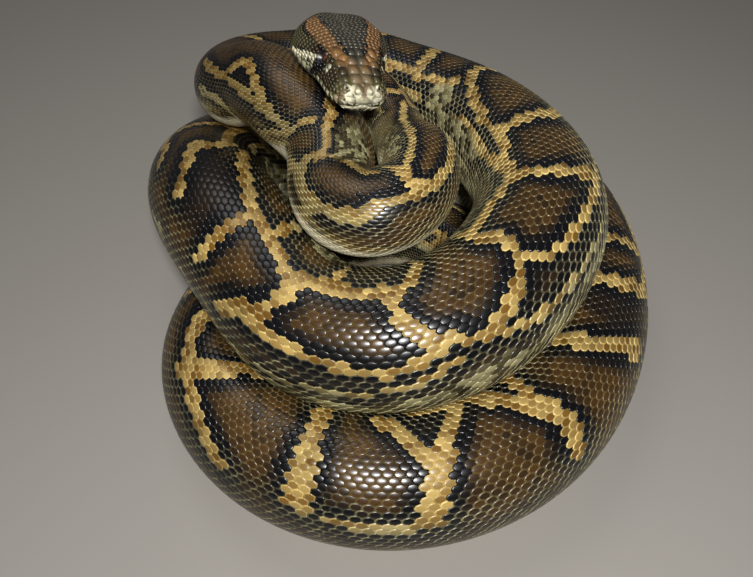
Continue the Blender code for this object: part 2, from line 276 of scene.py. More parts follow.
# Rows of shields along the mouth: (height over its line, spacing, half length, half height).
LIP_ROWS = ((3.7, 7.3, 3.6, 3.4), (-3.1, 5.9, 2.9, 2.7))
# Rings of a shield: (share of the way out, height over the head's surface, share of rim colour).
SHIELD_RINGS = ((1.0, -0.55, 1.0), (0.985, 0.1, 1.0), (0.88, 0.32, 0.3), (0.62, 0.38, 0.0),
                (0.32, 0.4, 0.0), (0.0, 0.4, 0.0))
SMALL_RINGS = ((1.0, -0.45, 1.0), (0.95, 0.05, 0.6), (0.62, 0.3, 0.0), (0.0, 0.36, 0.0))
# Pieces of the head's cover: (name, kind of shield, corners of each, its rings).
HEAD_PIECES = (("head_shields_large", 2, 16, SHIELD_RINGS),
               ("head_scales_small", 1, 8, SMALL_RINGS))
EYE_RING = (11, 6.9, 1.8)  # scales round an eye: how many, how far out, half their size
EYE_ROOM = 5.0             # kept clear of scales round the eye's middle, and the nostril's
NOSTRIL_ROOM = 1.6
# Small scales of the head: places behind the snout, their lengths and widths there.
SMALL_PLACES = (20, 50, 80, 116)
SMALL_LENGTHS = (4.2, 4.4, 3.7, 3.0)
SMALL_WIDTHS = (3.9, 3.9, 3.2, 2.3)
GAZE_UP, GAZE_ON = math.radians(24), math.radians(14)     # up and forwards, from straight out

# ---------------------------------------------------------------- the studio, in metres

CAMERA_AT = (-0.0203, -0.5335, 0.6357)
CAMERA_AIM = (-0.0203, -0.0552, 0.0984)
FOCAL_LENGTH = 35.86
SENSOR = 36.0
LIT_POINT = (0.0, 0.0, 0.1)
# Lights: (name, place, diameter in m, power in W)
LIGHTS = (
    ("key_by_the_camera", (0.05, -0.75, 0.95), 0.12, 16.5),
    ("overhead_softbox", (-0.4, 0.5, 1.6), 0.9, 5.5),
)


def linear(code):
    """Linear colour of an sRGB hex code."""
    channels = [int(code[k:k + 2], 16) / 255 for k in (1, 3, 5)]
    return tuple(c / 12.92 if c <= 0.04045 else ((c + 0.055) / 1.055) ** 2.4 for c in channels)


def smoothstep(low, high, value):
    """Rises smoothly from 0 at low to 1 at high."""
    share = np.clip((value - low) / (high - low), 0, 1)
    return share * share * (3 - 2 * share)


def natural_spline(knots, values, at):
    """Cubic spline through values at the knots, read at the places in at."""
    gaps = np.diff(knots)
    count = len(knots)
    matrix = np.eye(count)
    right = np.zeros((count, values.shape[1]))
    slopes = np.diff(values, axis=0) / gaps[:, None]
    for i in range(1, count - 1):
        matrix[i, i - 1:i + 2] = gaps[i - 1], 2 * (gaps[i - 1] + gaps[i]), gaps[i]
        right[i] = 6 * (slopes[i] - slopes[i - 1])
    bends = np.linalg.solve(matrix, right)
    i = np.clip(np.searchsorted(knots, at) - 1, 0, count - 2)
    h = gaps[i][:, None]
    a = (knots[i + 1] - at)[:, None]
    b = (at - knots[i])[:, None]
    return ((bends[i] * a ** 3 + bends[i + 1] * b ** 3) / (6 * h)
            + (values[i] / h - bends[i] * h / 6) * a
            + (values[i + 1] / h - bends[i + 1] * h / 6) * b)


def run_lengths(points):
    """Distance along a chain of points to each of them."""
    steps = np.linalg.norm(np.diff(points, axis=0), axis=1)
    return np.concatenate([[0.0], np.cumsum(steps)])


def girth(behind_snout):
    """Radius of the body at distances from the snout."""
    stations = np.array(GIRTH, float)
    return natural_spline(stations[:, 0], stations[:, 1:], np.asarray(behind_snout))[:, 0]


def turned(axis, degrees):
    """Rotation matrix about x, y or z."""
    c, s = math.cos(math.radians(degrees)), math.sin(math.radians(degrees))
    first, second = {"x": (1, 2), "y": (2, 0), "z": (0, 1)}[axis]
    matrix = np.eye(3)
    matrix[first, first] = matrix[second, second] = c
    matrix[second, first] = s
    matrix[first, second] = -s
    return matrix


def swell(at, middle, reach, size):
    """What rises to a size at its middle and dies away over its reach on each side."""
    share = min(abs(at - middle) / reach, 1.0)
    return size * math.cos(math.pi / 2 * share) ** 2


def oval_radius(azimuth, radius, widening, long_way):
    """Radius of an oval coil at an azimuth."""
    return radius + widening * math.cos(math.radians(2 * (azimuth - long_way)))


def coil_station(azimuth):
    """Station of the floor coil, the climb or the second coil at an azimuth."""
    climbed = smoothstep(*CLIMB, azimuth)
    radius = ((1 - climbed) * oval_radius(azimuth, *FLOOR_OVAL)
              + climbed * oval_radius(azimuth, *SECOND_OVAL)
              + swell(azimuth, *CLIMB_SWING))
    belly = climbed * (SECOND_BELLY - swell(azimuth, *SECOND_SAG))
    turn = swell(azimuth, *FLOOR_LEAN) + swell(azimuth, *SECOND_LEAN)
    return azimuth, radius, belly, turn


def arc_stations(middle_x, middle_y, half_width, half_depth, first, last):
    """Share of the way, x and y of each station along an oval arc."""
    for share in np.linspace(0, 1, ARC_STATIONS):
        angle = math.radians(first + (last - first) * share)
        yield (share, middle_x + half_width * math.cos(angle),
               middle_y + half_depth * math.sin(angle))


def left_bend():
    """Stations of the bend at the left, which rises and turns its back outwards."""
    low, high = LEFT_BEND_BELLY
    return [(x, y, low + (high - low) * share ** 1.5, LEFT_BEND_LEAN * share ** 2)
            for share, x, y in arc_stations(*LEFT_BEND)]


def small_loop():
    """Stations of the small loop on top."""
    low, high = SMALL_LOOP_BELLY
    first, last = SMALL_LOOP_TURN
    return [(x, y, low + (high - low) * smoothstep(0, 1, share),
             first + (last - first) * share + swell(share, *SMALL_LOOP_LEAN))
            for share, x, y in arc_stations(*SMALL_LOOP)]


def body_stations():
    """Stations from the tail's tip to the back of the head: x, y, belly's height, turn."""
    coils = list(HIND_BODY)
    coils += [coil_station(azimuth) for azimuth in range(COILS_FROM, COILS_TO + 1, COIL_STEP)]
    stations = [(radius * math.cos(math.radians(azimuth)),
                 radius * math.sin(math.radians(azimuth)), belly, turn)
                for azimuth, radius, belly, turn in coils]
    return (stations + list(BACK_STRAND) + left_bend() + list(INTO_LOOP) + small_loop()
            + list(NECK))


class Snake:
    """The body's centreline with its frames and pressed radii, and the head's shape, in mm."""

    def __init__(self):
        self.snout = np.array(SNOUT) + (AXIS_X, AXIS_Y, 0)
        self.head_turn = (turned("z", HEAD_YAW) @ turned("z", 180) @ turned("x", HEAD_PITCH)
                          @ turned("y", -HEAD_ROLL))
        stations = body_stations()
        radius = float(girth([0.0])[0])
        yaw, pitch = math.radians(HEAD_YAW), math.radians(HEAD_PITCH)
        forwards = np.array([math.sin(yaw) * math.cos(pitch), -math.cos(yaw) * math.cos(pitch),
                             math.sin(pitch)])
        for behind in (HEAD_LENGTH / 2, 0):
            x, y, z = np.array(SNOUT) - behind * forwards
            stations.append((x, y, z - radius * (1 - BELLY_PRESS), -HEAD_ROLL))
        stations = np.array(stations, float)
        knots = run_lengths(stations[:, :3])
        fine = natural_spline(knots, stations, np.linspace(0, knots[-1], 3000))
        points = fine[:, :3].copy()
        for _ in range(3):
            run = run_lengths(points)
            points[:, 2] = fine[:, 2] + girth(run[-1] - run) * (1 - BELLY_PRESS)
        run = run_lengths(points)
        at = np.linspace(0, run[-1], int(run[-1] / SAMPLE))
        self.length = run[-1]
        self.points = np.stack([np.interp(at, run, points[:, k]) for k in range(3)], axis=1)
        self.points += (AXIS_X, AXIS_Y, 0)
        self.behind = run[-1] - at
        self.radii = girth(self.behind)
        turn = np.radians(np.interp(at, run, fine[:, 3]))
        along = np.gradient(self.points, axis=0)
        along /= np.linalg.norm(along, axis=1)[:, None]
        upright = np.array([0, 0, 1.0]) - along[:, 2:3] * along
        upright /= np.linalg.norm(upright, axis=1)[:, None]
        outwards = np.cross(along, upright)
        self.back = upright * np.cos(turn)[:, None] + outwards * np.sin(turn)[:, None]
        self.right = np.cross(along, self.back)
        self.reach = np.stack([self.pressed(k) for k in range(len(self.points))])
        sections = np.array(HEAD_SECTIONS)
        self.head_places = np.linspace(0, HEAD_END, 2 * HEAD_END + 1)
        self.head_sections = natural_spline(sections[:, 0], sections[:, 1:], self.head_places)
        self.unwrap_head()

    def pressed(self, k):
        """Radius in each direction at sample k, flattened by the floor and other strands."""
        radius, centre = self.radii[k], self.points[k]
        angles = np.arange(SECTORS) * 2 * math.pi / SECTORS
        spokes = np.cos(angles)[:, None] * self.back[k] + np.sin(angles)[:, None] * self.right[k]
        to_other = self.points - centre
        distance = np.linalg.norm(to_other, axis=1)
        reach = NEIGHBOUR_REACH * (radius + self.radii) / 2
        near = (abs(self.behind - self.behind[k]) > reach) & (distance < radius + self.radii)
        result = np.full(SECTORS, radius)
        if near.any():
            way = to_other[near] / distance[near][:, None]
            wall = distance[near] ** 2 + radius ** 2 - self.radii[near] ** 2
            wall /= 2 * distance[near]
            cosines = spokes @ way.T
            limits = (wall - CONTACT_GAP) / np.maximum(cosines, LEAST_COSINE)
            limits = np.where(cosines > LEAST_COSINE, limits, FAR_OFF)
            result = np.minimum(result, limits.min(axis=1))
        falls = -spokes[:, 2]
        floor = np.where(falls > LEAST_COSINE, centre[2] / np.maximum(falls, LEAST_COSINE), FAR_OFF)
        return np.minimum(result, floor)

    def tube(self, behind, angle, lift):
        """Points of the body's surface, behind the snout by behind, at an angle in radians."""
        place = np.clip((self.length - behind) / self.length * (len(self.points) - 1),
                        0, len(self.points) - 1.001)
        i = place.astype(int)
        w = (place - i)[..., None]
        read = lambda rows: rows[i] * (1 - w) + rows[i + 1] * w
        sector = (angle / (2 * math.pi) * SECTORS) % SECTORS
        j = sector.astype(int) % SECTORS
        v = sector - sector.astype(int)
        following = (j + 1) % SECTORS
        near = self.reach[i, j] * (1 - v) + self.reach[i, following] * v
        far = self.reach[i + 1, j] * (1 - v) + self.reach[i + 1, following] * v
        radius = near * (1 - w[..., 0]) + far * w[..., 0]
        back, right = read(self.back), read(self.right)
        back /= np.linalg.norm(back, axis=-1)[..., None]
        right /= np.linalg.norm(right, axis=-1)[..., None]
        spoke = np.cos(angle)[..., None] * back + np.sin(angle)[..., None] * right
        return read(self.points) + (radius + lift)[..., None] * spoke

    def head(self, behind, angle, lift):
        """Points of the head's surface in the model's frame."""
        half, over, under = (np.interp(behind, self.head_places, self.head_sections[:, k])
                             for k in range(3))
        c, s = np.cos(angle), np.sin(angle)
        size = (abs(c) ** HEAD_SQUARENESS + abs(s) ** HEAD_SQUARENESS) ** (-1 / HEAD_SQUARENESS)
        rise = np.where(c > 0, over, under)
        lift = lift + head_relief(np.maximum(behind, 0), half * s * size, rise * c * size)
        shrink = np.clip(1 + behind / CAP, 0, 1)
        x = (half + lift) * s * size * shrink
        z = (rise + lift) * c * size * shrink
        return self.head_place(x, behind, z)

    def head_place(self, x, behind, z):
        """Points of the head's own frame in the model's frame."""
        local = np.stack([x, -np.maximum(behind, 0) + 0 * x, z], axis=-1)
        return local @ self.head_turn.T + self.snout

    def unwrap_head(self):
        """Keeps, for places on the head, how far round they lie from the crown's midline."""
        self.arc_angles = np.linspace(-math.pi, math.pi, HEAD_ANGLES + 1)
        places, angles = np.meshgrid(np.arange(HEAD_END + 1.0), self.arc_angles, indexing="ij")
        points = self.head(places, angles, 0 * places)
        steps = np.linalg.norm(np.diff(points, axis=1), axis=2)
        arcs = np.concatenate([np.zeros((len(steps), 1)), np.cumsum(steps, axis=1)], axis=1)
        middle = HEAD_ANGLES // 2
        self.arcs = arcs - arcs[:, middle:middle + 1]

    def arc_of(self, behind, angle):
        """Distance round the head from the crown's midline, in mm, to its right."""
        row = np.clip(behind, 0, HEAD_END - 0.01)
        column = ((angle + math.pi) / (2 * math.pi) * HEAD_ANGLES) % HEAD_ANGLES
        i, j = row.astype(int), column.astype(int)
        v, w = row - i, column - j
        read = lambda rows: self.arcs[rows, j] * (1 - w) + self.arcs[rows, j + 1] * w
        return read(i) * (1 - v) + read(i + 1) * v

    def angle_of_arc(self, behind, across):
        """Angle of the place that lies this far round from the crown's midline."""
        return float(np.interp(across, self.arcs[int(round(max(behind, 0)))], self.arc_angles))

    def angle_of_height(self, behind, height):
        """Angle on the head's right of the place at a height from the head's axis."""
        half, over, under = (np.interp(behind, self.head_places, self.head_sections[:, k])
                             for k in range(3))
        share = min(abs(height) / (over if height > 0 else under), 0.999)
        level = (1 - share ** HEAD_SQUARENESS) ** (1 / HEAD_SQUARENESS)
        return math.atan2(level, math.copysign(share, height))

    def surface(self, behind, angle, lift):
        """Points of the whole outer surface, head and body."""
        share = smoothstep(BLEND_FROM, BLEND_TO, behind)[..., None]
        body = self.tube(behind, angle, lift)
        return body * share + self.head(np.minimum(behind, HEAD_END), angle, lift) * (1 - share)


def mound(distance):
    """Rounded swelling, 1 at no distance and almost 0 at 2."""
    return np.exp(-distance ** 2)


MOUTH_PLACES = np.linspace(0, MOUTH[-1][0], 93)
MOUTH_HEIGHTS = natural_spline(np.array([m[0] for m in MOUTH], float),
                               np.array([[m[1]] for m in MOUTH], float), MOUTH_PLACES)[:, 0]


def mouth_height(behind):
    """Height of the mouth's line from the head's axis."""
    return np.interp(behind, MOUTH_PLACES, MOUTH_HEIGHTS)


def pit_places():
    """Heat pits in the lip shields: behind the snout and height from the head's axis."""
    upper = [(place, float(mouth_height(place)) + 4.2) for place in (2.2, 6.5, 13.0)]
    lower = [(place, float(mouth_height(place)) - 2.8) for place in (58.0, 64.0, 70.0, 76.0)]
    return upper + lower


def head_relief(behind, x, z):
    """Height of the head's folds over its plain sections, at a place of its own frame."""
    side, above = np.abs(x), z > 0
    # furrow along the crown, between the jaw's muscles
    relief = 1.6 * mound((side - 19) / 9.0) - 3.4 * mound(x / 8.0)
    relief = relief * smoothstep(54, 80, behind) * (1 - smoothstep(98, 118, behind)) * above
    # brow's edge from the nostril back over the eye
    edge = np.interp(behind, (8, 30, 46, 60), (13, 18.5, 22.5, 26))
    along = smoothstep(8, 16, behind) * (1 - smoothstep(50, 62, behind))
    relief = relief + 1.1 * mound((side - edge) / 3.4) * along * above
    # hollow of the cheek before the eye
    hollow = smoothstep(10, 18, behind) * (1 - smoothstep(33, 42, behind))
    hollow = hollow * smoothstep(16, 21, side)
    relief = relief - 1.3 * mound((z - 3.5) / 4.2) * hollow
    # socket of the eye and its rim
    gap = np.sqrt((behind - EYE_BACK) ** 2 + (side - EYE_OUT) ** 2 + (z - EYE_UP) ** 2)
    relief = relief - 3.0 * (1 - smoothstep(3.8, 5.6, gap)) + 0.9 * mound((gap - 6.8) / 1.5)
    # nostrils, in low swellings
    gap = np.hypot(behind - NOSTRIL_BACK, side - NOSTRIL_SIDE)
    relief = relief + above * (0.7 * mound(gap / 3.6) - 2.6 * (1 - smoothstep(0.7, 1.9, gap)))
    # closed mouth under a full upper lip
    over_line = z - mouth_height(behind)
    closed = 1 - smoothstep(MOUTH_CORNER - 4, MOUTH_CORNER, behind)
    lip = 0.7 * mound((over_line - 2.6) / 2.2) - 1.7 * mound(over_line / 0.75)
    relief = relief + closed * lip
    for place, height in pit_places():
        gap = np.hypot(behind - place, z - height)
        relief = relief - 1.2 * (1 - smoothstep(0.5, 1.2, gap)) * (side > 6)
    # groove of the chin
    groove = smoothstep(10, 18, behind) * (1 - smoothstep(62, 80, behind))
    return relief - 0.9 * mound(x / 1.1) * groove * (1 - above)


snake = Snake()

# ---------------------------------------------------------------- markings and colours


def wander(a, b, seed):
    """Smooth noise between about -1 and 1 over two lengths in mm."""
    first = np.sin(a / 13.0 + seed + 1.7 * np.sin(b / 19.0 + 2.3 * seed))
    second = np.sin(b / 11.0 - 1.9 * seed + 1.4 * np.sin(a / 23.0 + seed))
    third = np.sin((a + b) / 7.0 + 3.1 * seed)
    return (first + second + 0.6 * third) / 2.6


def plain_strokes():
    """Strokes of the net where it keeps a plain rhythm, with small changes from band to band."""
    chance = np.random.default_rng(5)
    wave = lambda: chance.uniform(-1, 1)
    strokes = []
    for first, last, spacing in PLAIN_NET:
        count = max(1, round((last - first) / spacing))
        step = (last - first) / count
        thick = 13 * min(1, float(girth([first])[0]) / 45)
        bands = [first + (k + 0.5) * step + 5 * wave() for k in range(count)]
        for place in bands:
            lean = 9 * wave()
            strokes.append((thick, (place + lean, -SIDE_LINE), (place, 4 * wave()),
                            (place - lean, SIDE_LINE)))
        for side in (-1, 1):
            line = [(first - 8, side * (SIDE_LINE + 3))]
            for k in range(2 * count + 1):
                line.append((first + k * step / 2, side * (SIDE_LINE + 2 + 4 * wave())))
            strokes.append((thick * 0.8, *line))
            for place in bands:
                across = place + step / 2 + 6 * wave()
                strokes.append((thick * 0.8, (across, side * SIDE_LINE), (across, side * LOW_LINE)))
    for first, last, _ in PLAIN_NET:
        for side in (-1, 1):
            line = [(place, side * (LOW_LINE + 4 * wave())) for place in np.arange(first, last, 40)]
            strokes.append((9 * min(1, float(girth([first])[0]) / 45), *line))
    return strokes


def smooth_stroke(points):
    """Closely spaced points along a stroke."""
    points = np.array(points, float)
    knots = run_lengths(points)
    count = max(4, int(knots[-1] / 6))
    return natural_spline(knots, points, np.linspace(0, knots[-1], count))


def off_the_net(strokes, behind, degrees):
    """Distance in mm from the nearest stroke's edge, negative within the stroke."""
    nearest = np.full(behind.shape, 99.0)
    to_mm = girth(behind) * math.pi / 180
    for width, *points in strokes:
        line = smooth_stroke(points)
        low, high = line[:, 0].min() - 60, line[:, 0].max() + 60
        close = np.nonzero((behind > low) & (behind < high))[0]
        here, there = behind[close], degrees[close]
        for (u1, d1), (u2, d2) in zip(line, line[1:]):
            along, across = u2 - u1, (d2 - d1) * to_mm[close]
            x, y = here - u1, (there - d1) * to_mm[close]
            share = np.clip((x * along + y * across) / (along ** 2 + across ** 2 + 1e-9), 0, 1)
            gap = np.hypot(x - share * along, y - share * across) - width / 2
            nearest[close] = np.minimum(nearest[close], gap)
    return nearest + 1.3 * wander(behind, degrees * to_mm, 2.0)


def off_the_cells(cells, behind, degrees):
    """Distance from the nearest cell's middle, 1 at its edge, in a column."""
    return np.min([np.hypot((behind - place) / half_length, (degrees - angle) / half_width)
                   for place, angle, half_length, half_width in cells], axis=0)[:, None]


STROKES = list(NET) + plain_strokes()


def arc_at_height(behind, height):
    """Distance round from the crown's midline to the place at a height from the head's axis."""
    angle = snake.angle_of_height(behind, height)
    return float(snake.arc_of(np.array([behind]), np.array([angle]))[0])


# Places on the unwrapped head that its markings follow.
LIP_PLACES = np.arange(HEAD_END + 1.0)
LIP_ARCS = np.array([arc_at_height(place, float(mouth_height(place))) for place in LIP_PLACES])
EYE_ARC = arc_at_height(EYE_BACK, EYE_UP)
NOSTRIL_ARC = 14.5
PIT_ARCS = [(place, arc_at_height(place, height)) for place, height in pit_places()]


def palette():
    """The colours of the markings, by name."""
    colours = bpy.context.scene.python_colours
    return {name: np.array(getattr(colours, name)[:3]) for name in colours.__annotations__}


def mix(first, second, share):
    """First at no share, second at a full one."""
    return first * (1 - share) + second * share


def scale_colours(behind, degrees, chance):
    """Colour of each scale's middle and of its rim, from its place."""
    pick = palette()
    across = degrees * girth(behind) * math.pi / 180
    count = behind.shape[0]
    mottle = wander(behind * 1.7, across * 1.7, 5.0)[:, None]
    jitter = chance.uniform(-1, 1, (count, 1))
    side = abs((degrees + 180) % 360 - 180)
    # the olive flanks of the trunk fade out towards the neck, whose net stays yellow and pale
    neck = 1 - smoothstep(*NECK_FADES, behind)
    inner = 12 * (degrees < 0)
    floor_coil = smoothstep(*FLOOR_COIL, behind)
    flank = smoothstep(*FLANK, side - inner + 5 * mottle[:, 0])
    flank = (flank * (1 - 0.7 * neck))[:, None]
    deep = side - inner + 8 * mottle[:, 0] - 10 * neck - 24 * floor_coil
    deep = smoothstep(*DASHED_FLANK, deep)[:, None]
    low = smoothstep(*BELLY_EDGE, side + 6 * mottle[:, 0] + 12 * neck)[:, None]
    pale = (neck * smoothstep(36, 58, side))[:, None]

    # the tan net, which turns olive and cream down the flanks
    middle = mix(pick["golden"], pick["straw"], np.clip(0.2 + 0.25 * jitter + 0.15 * mottle, 0, 1))
    rim = mix(pick["golden"], pick["straw"], np.clip(0.85 + 0.3 * jitter, 0, 1.2))
    flank_middle = mix(pick["olive"], pick["cream"],
                       np.clip(0.2 + 0.35 * mottle + 0.3 * jitter, 0, 1))
    middle = mix(middle, flank_middle, flank)
    rim = mix(rim, mix(pick["olive"], pick["cream"], 0.8), flank)
    fore = (neck * smoothstep(8, 30, side))[:, None]
    middle = mix(middle, pick["olive"] * 0.75, 0.6 * fore * np.clip(0.7 + 0.5 * jitter, 0, 1))
    rim = mix(rim, pick["cream"] * 1.3, 0.75 * pale)

    # the dark cells: black at their edges, brown and mottled in the saddles' middles
    depth = off_the_net(STROKES, behind, degrees)[:, None]
    wide = np.clip(girth(behind) / 55, 0.5, 1)[:, None]
    core = smoothstep((BORDER - 4) * wide, (BORDER + 9) * wide, depth + 2.5 * jitter)
    # painted shade: the brown middle of the shaded cells is darkened almost to black
    painted_shade = 1 - smoothstep(0.8, 1.2, off_the_cells(PAINTED_SHADE_CELLS, behind, degrees))
    core = core * (1 - 0.75 * flank) * (1 - 0.8 * painted_shade)
    brown = mix(pick["saddle"], pick["saddle_dark"],
                np.clip(0.3 + 0.35 * mottle + 0.4 * jitter, 0, 1))
    dark = mix(pick["black"], brown, core)
    # rims of the dark scales are paler than their middles: partly their own rim colour, partly a
    # painted highlight along the scales' edges; low on the flanks they turn cream
    dark_rim_and_glint = mix(pick["black"] * 3.0, brown * 0.9 + pick["straw"] * 0.14, core)
    edged = smoothstep(16, 50, side)[:, None] * (0.6 + 0.4 * jitter)
    dark_rim_and_glint = mix(dark_rim_and_glint, pick["cream"] * 0.6, 0.85 * edged)
    # low on the flanks the cells break up into dashes
    dashes = smoothstep(-0.2, 0.1, wander(behind * 1.3, across * 4.2, 9.0)[:, None] + 0.4 * jitter)
    share = (depth > 0) * (1 - deep * (1 - 0.9 * dashes))
    middle, rim = mix(middle, dark, share), mix(rim, dark_rim_and_glint, share)

    # mottled patches, where dark flecks stand on olive and cream
    patch = 1 - smoothstep(0.75, 1.05, off_the_cells(PATCHES, behind, degrees) + 0.18 * mottle)
    flecks = smoothstep(-0.25, 0.15, wander(behind * 3.1, across * 3.3, 3.0)[:, None]
                        + 0.5 * jitter)
    light = mix(pick["olive"], pick["cream"], np.clip(0.3 + 0.3 * jitter, 0, 1))
    fleck = mix(light * 0.8, pick["saddle_dark"], 0.85 * (1 - flecks))
    middle, rim = mix(middle, fleck, patch), mix(rim, mix(fleck, light, 0.4), patch)

    middle = mix(middle, pick["belly"], low)
    rim = mix(rim, pick["belly"], low)
    tone = 1 + 0.14 * chance.uniform(-1, 1, (count, 1))
    return middle * tone, rim * tone


def head_colours(behind, across):
    """Colour at places on the head: behind the snout, and round from the crown's midline, in mm."""
    pick = palette()
    side = np.abs(across)
    wave = 0.8 * wander(behind * 3, side * 3 + np.sign(across) * 2, 4.0)
    places = [band[0] for band in BANDS]
    inner, outer = (np.interp(behind, places, [band[k] for band in BANDS]) for k in (1, 2))
    lip = np.interp(behind, LIP_PLACES, LIP_ARCS)
    soft = lambda value: smoothstep(-0.7, 0.7, value + wave)[:, None]
    colour = np.broadcast_to(pick["crown"], (len(behind), 3))

    def lay(name, share, tone=1.0):
        nonlocal colour
        colour = colour * (1 - share) + pick[name] * tone * share

    # crown: a grey spearhead, a paler snout, and a tan band each side with dark edges
    lay("crown", soft(2.5 - side) * soft(behind - 44), 1.35)
    lay("snout", 1 - smoothstep(26, 37, behind + 0.9 * side)[:, None])
    lay("black", soft(side - inner + 1.6) * soft(behind - 38), 2.5)
    fade = smoothstep(19, 31, behind - 0.3 * side)[:, None]
    lay("band", soft(side - inner) * fade, 1.0 + 0.2 * (1 - smoothstep(30, 60, behind)[:, None]))
    lay("crown", soft(side - inner) * smoothstep(82, 94, behind - 0.3 * side)[:, None], 0.75)
    # cheek before the eye, and the wedge behind it
    cheek = soft(side - outer)
    lay("lore", cheek)
    lay("olive", cheek * soft(17 - behind), 1.1)
    lay("streak", cheek * soft(3.0 - np.hypot(behind - 33, side - 26.5)), 0.75)
    wedge_end = 28.5 + 0.8 * (behind - 46)
    back = cheek * soft(behind - 48)
    lay("black", back)
    inside = soft(side - outer - 2.0) * soft(wedge_end - side - 1.8) * soft(behind - 50)
    lay("saddle", inside, 1.0)
    lay("olive", inside * smoothstep(56, 66, behind)[:, None], 0.8)
    lay("streak", back * soft(side - wedge_end) * soft(wedge_end + 6.5 - side), 1.25)
    below = soft(side - wedge_end - 7.5) * soft(behind - 50)
    lay("lip", below, 0.9)
    # lips, with the dark bar that runs down from the eye
    lips = soft(side - lip + 8.0)
    lay("lip", lips * soft(50 - behind), 0.95)
    lay("black", soft(side - 29) * soft(lip + 1.0 - side)
        * soft(5.0 - np.abs(behind - 43 - 0.3 * (side - 29))))
    for place in LIP_SPOTS:
        lay("lore", 0.8 * soft(2.0 - np.hypot(behind - place, (side - lip + 4.5) * 0.7)))
    # snout's tip and nostrils
    tip = soft(9.0 - behind)
    lay("snout", tip, 1.1)
    lay("streak", tip * soft(lip + 1.0 - side) * soft(side - 2.0) * soft(16.5 - side), 1.25)
    lay("streak", soft(1.2 - behind), 0.85)
    lay("lore", 0.8 * tip * soft(1.3 - np.abs(side - 8.5)) * soft(3.0 - behind))
    # lower jaw and throat
    jaw = soft(side - lip)
    lay("streak", jaw, 0.95)
    lay("lore", jaw * 0.7 * soft(lip + 5.0 - side) * soft(5.0 - np.abs(behind - 42)))
    lay("belly", soft(side - lip - 9.0))
    lay("black", soft(0.5 - np.abs(side - lip)) * soft(MOUTH_CORNER - behind))
    # eye's rim, nostril and heat pits
    lay("black", 0.8 * soft(6.6 - np.hypot(behind - EYE_BACK, side - EYE_ARC)), 2.0)
    lay("black", soft(1.9 - np.hypot(behind - NOSTRIL_BACK, side - NOSTRIL_ARC)))
    for pit, place in PIT_ARCS:
        lay("black", soft(1.1 - np.hypot(behind - pit, side - place)))
    mottle = 1 + 0.16 * wander(behind * 6, side * 6, 8.0)[:, None]
    return colour * mottle


# ---------------------------------------------------------------- meshes from arrays


def finished(name, mesh, finish, nodes):
    """Object of a finished mesh that rides on the body and replaces the frame's nodes."""
    mesh.materials.append(finish)
    mesh.shade_smooth()
    made = bpy.data.objects.new(name, mesh)
    bpy.context.scene.collection.objects.link(made)
    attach(made, "root")
    if nodes:
        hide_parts(*nodes)
    return made


def corner_places(mesh):
    """Places of a mesh's corners in its own units."""
    places = np.empty(len(mesh.vertices) * 3, np.float32)
    mesh.vertices.foreach_get("co", places)
    return places.reshape(-1, 3)


def place_corners(mesh, points):
    """Moves a mesh's corners to points in mm."""
    mesh.vertices.foreach_set("co", (points * MM).astype(np.float32).ravel())


def mesh_of(name, points, faces):
    """Mesh of points in mm and of faces, in one array for each number of corners."""
    mesh = bpy.data.meshes.new(name)
    corners = np.concatenate([group.ravel() for group in faces])
    sizes = np.concatenate([np.full(len(group), group.shape[1]) for group in faces])
    mesh.vertices.add(len(points))
    place_corners(mesh, points)
    mesh.loops.add(len(corners))
    mesh.loops.foreach_set("vertex_index", corners.astype(np.int32))
    mesh.polygons.add(len(sizes))
    starts = np.concatenate([[0], np.cumsum(sizes)[:-1]])
    mesh.polygons.foreach_set("loop_start", starts.astype(np.int32))
    mesh.update(calc_edges=True)
    return mesh


def paint(mesh, colours):
    """Keeps a colour for each vertex in the attribute that the finishes read."""
    tint = mesh.attributes.new("tint", "FLOAT_COLOR", "POINT")
    full = np.concatenate([np.clip(colours, 0, 1), np.ones((len(colours), 1))], axis=1)
    tint.data.foreach_set("color", full.astype(np.float32).ravel())


def bake_map(mesh, places):
    """Keeps each vertex's place on the bake's map."""
    layer = mesh.uv_layers.new(name="OFBake")
    corners = np.empty(len(mesh.loops), np.int32)
    mesh.loops.foreach_get("vertex_index", corners)
    layer.data.foreach_set("uv", places[corners].astype(np.float32).ravel())


def plate(corners):
    """Closed scale in its own units, with its tip towards the tail at a = 1.

    Returns its places (a, b, height from 0 at the root to 1 at the crown), the share of rim colour
    at each of them, and its faces.
    """
    made = bmesh.new()
    bmesh.ops.create_circle(made, cap_ends=True, segments=corners, radius=1)
    rim = list(made.verts)
    for corner in rim:
        a, b = corner.co.x, corner.co.y
        corner.co = (a * (1 + SCALE_TIP * (a > 0)), b, 0.62 + 0.3 * a)
    bmesh.ops.inset_individual(made, faces=made.faces[:], thickness=SCALE_INSET,
                               use_even_offset=False)
    crown = [corner for corner in made.verts if corner not in rim]
    for corner in crown:
        corner.co.z = 0.86 + 0.14 * corner.co.x
    border = [edge for edge in made.edges if edge.is_boundary]
    walls = bmesh.ops.extrude_edge_only(made, edges=border)["geom"]
    roots = [part for part in walls if isinstance(part, bmesh.types.BMVert)]
    for corner in roots:
        corner.co = (corner.co.x * 0.96, corner.co.y * 0.96, ROOT_HEIGHT)
    bmesh.ops.contextual_create(made, geom=[e for e in made.edges if e.is_boundary])
    bmesh.ops.recalc_face_normals(made, faces=made.faces)
    made.verts.index_update()
    places = np.array([corner.co[:] for corner in made.verts])
    rims = np.array([0.0 if corner in crown else 1.0 for corner in made.verts])
    faces = {}
    for face in made.faces:
        faces.setdefault(len(face.verts), []).append([corner.index for corner in face.verts])
    made.free()
    return places, rims, [np.array(group) for group in faces.values()]


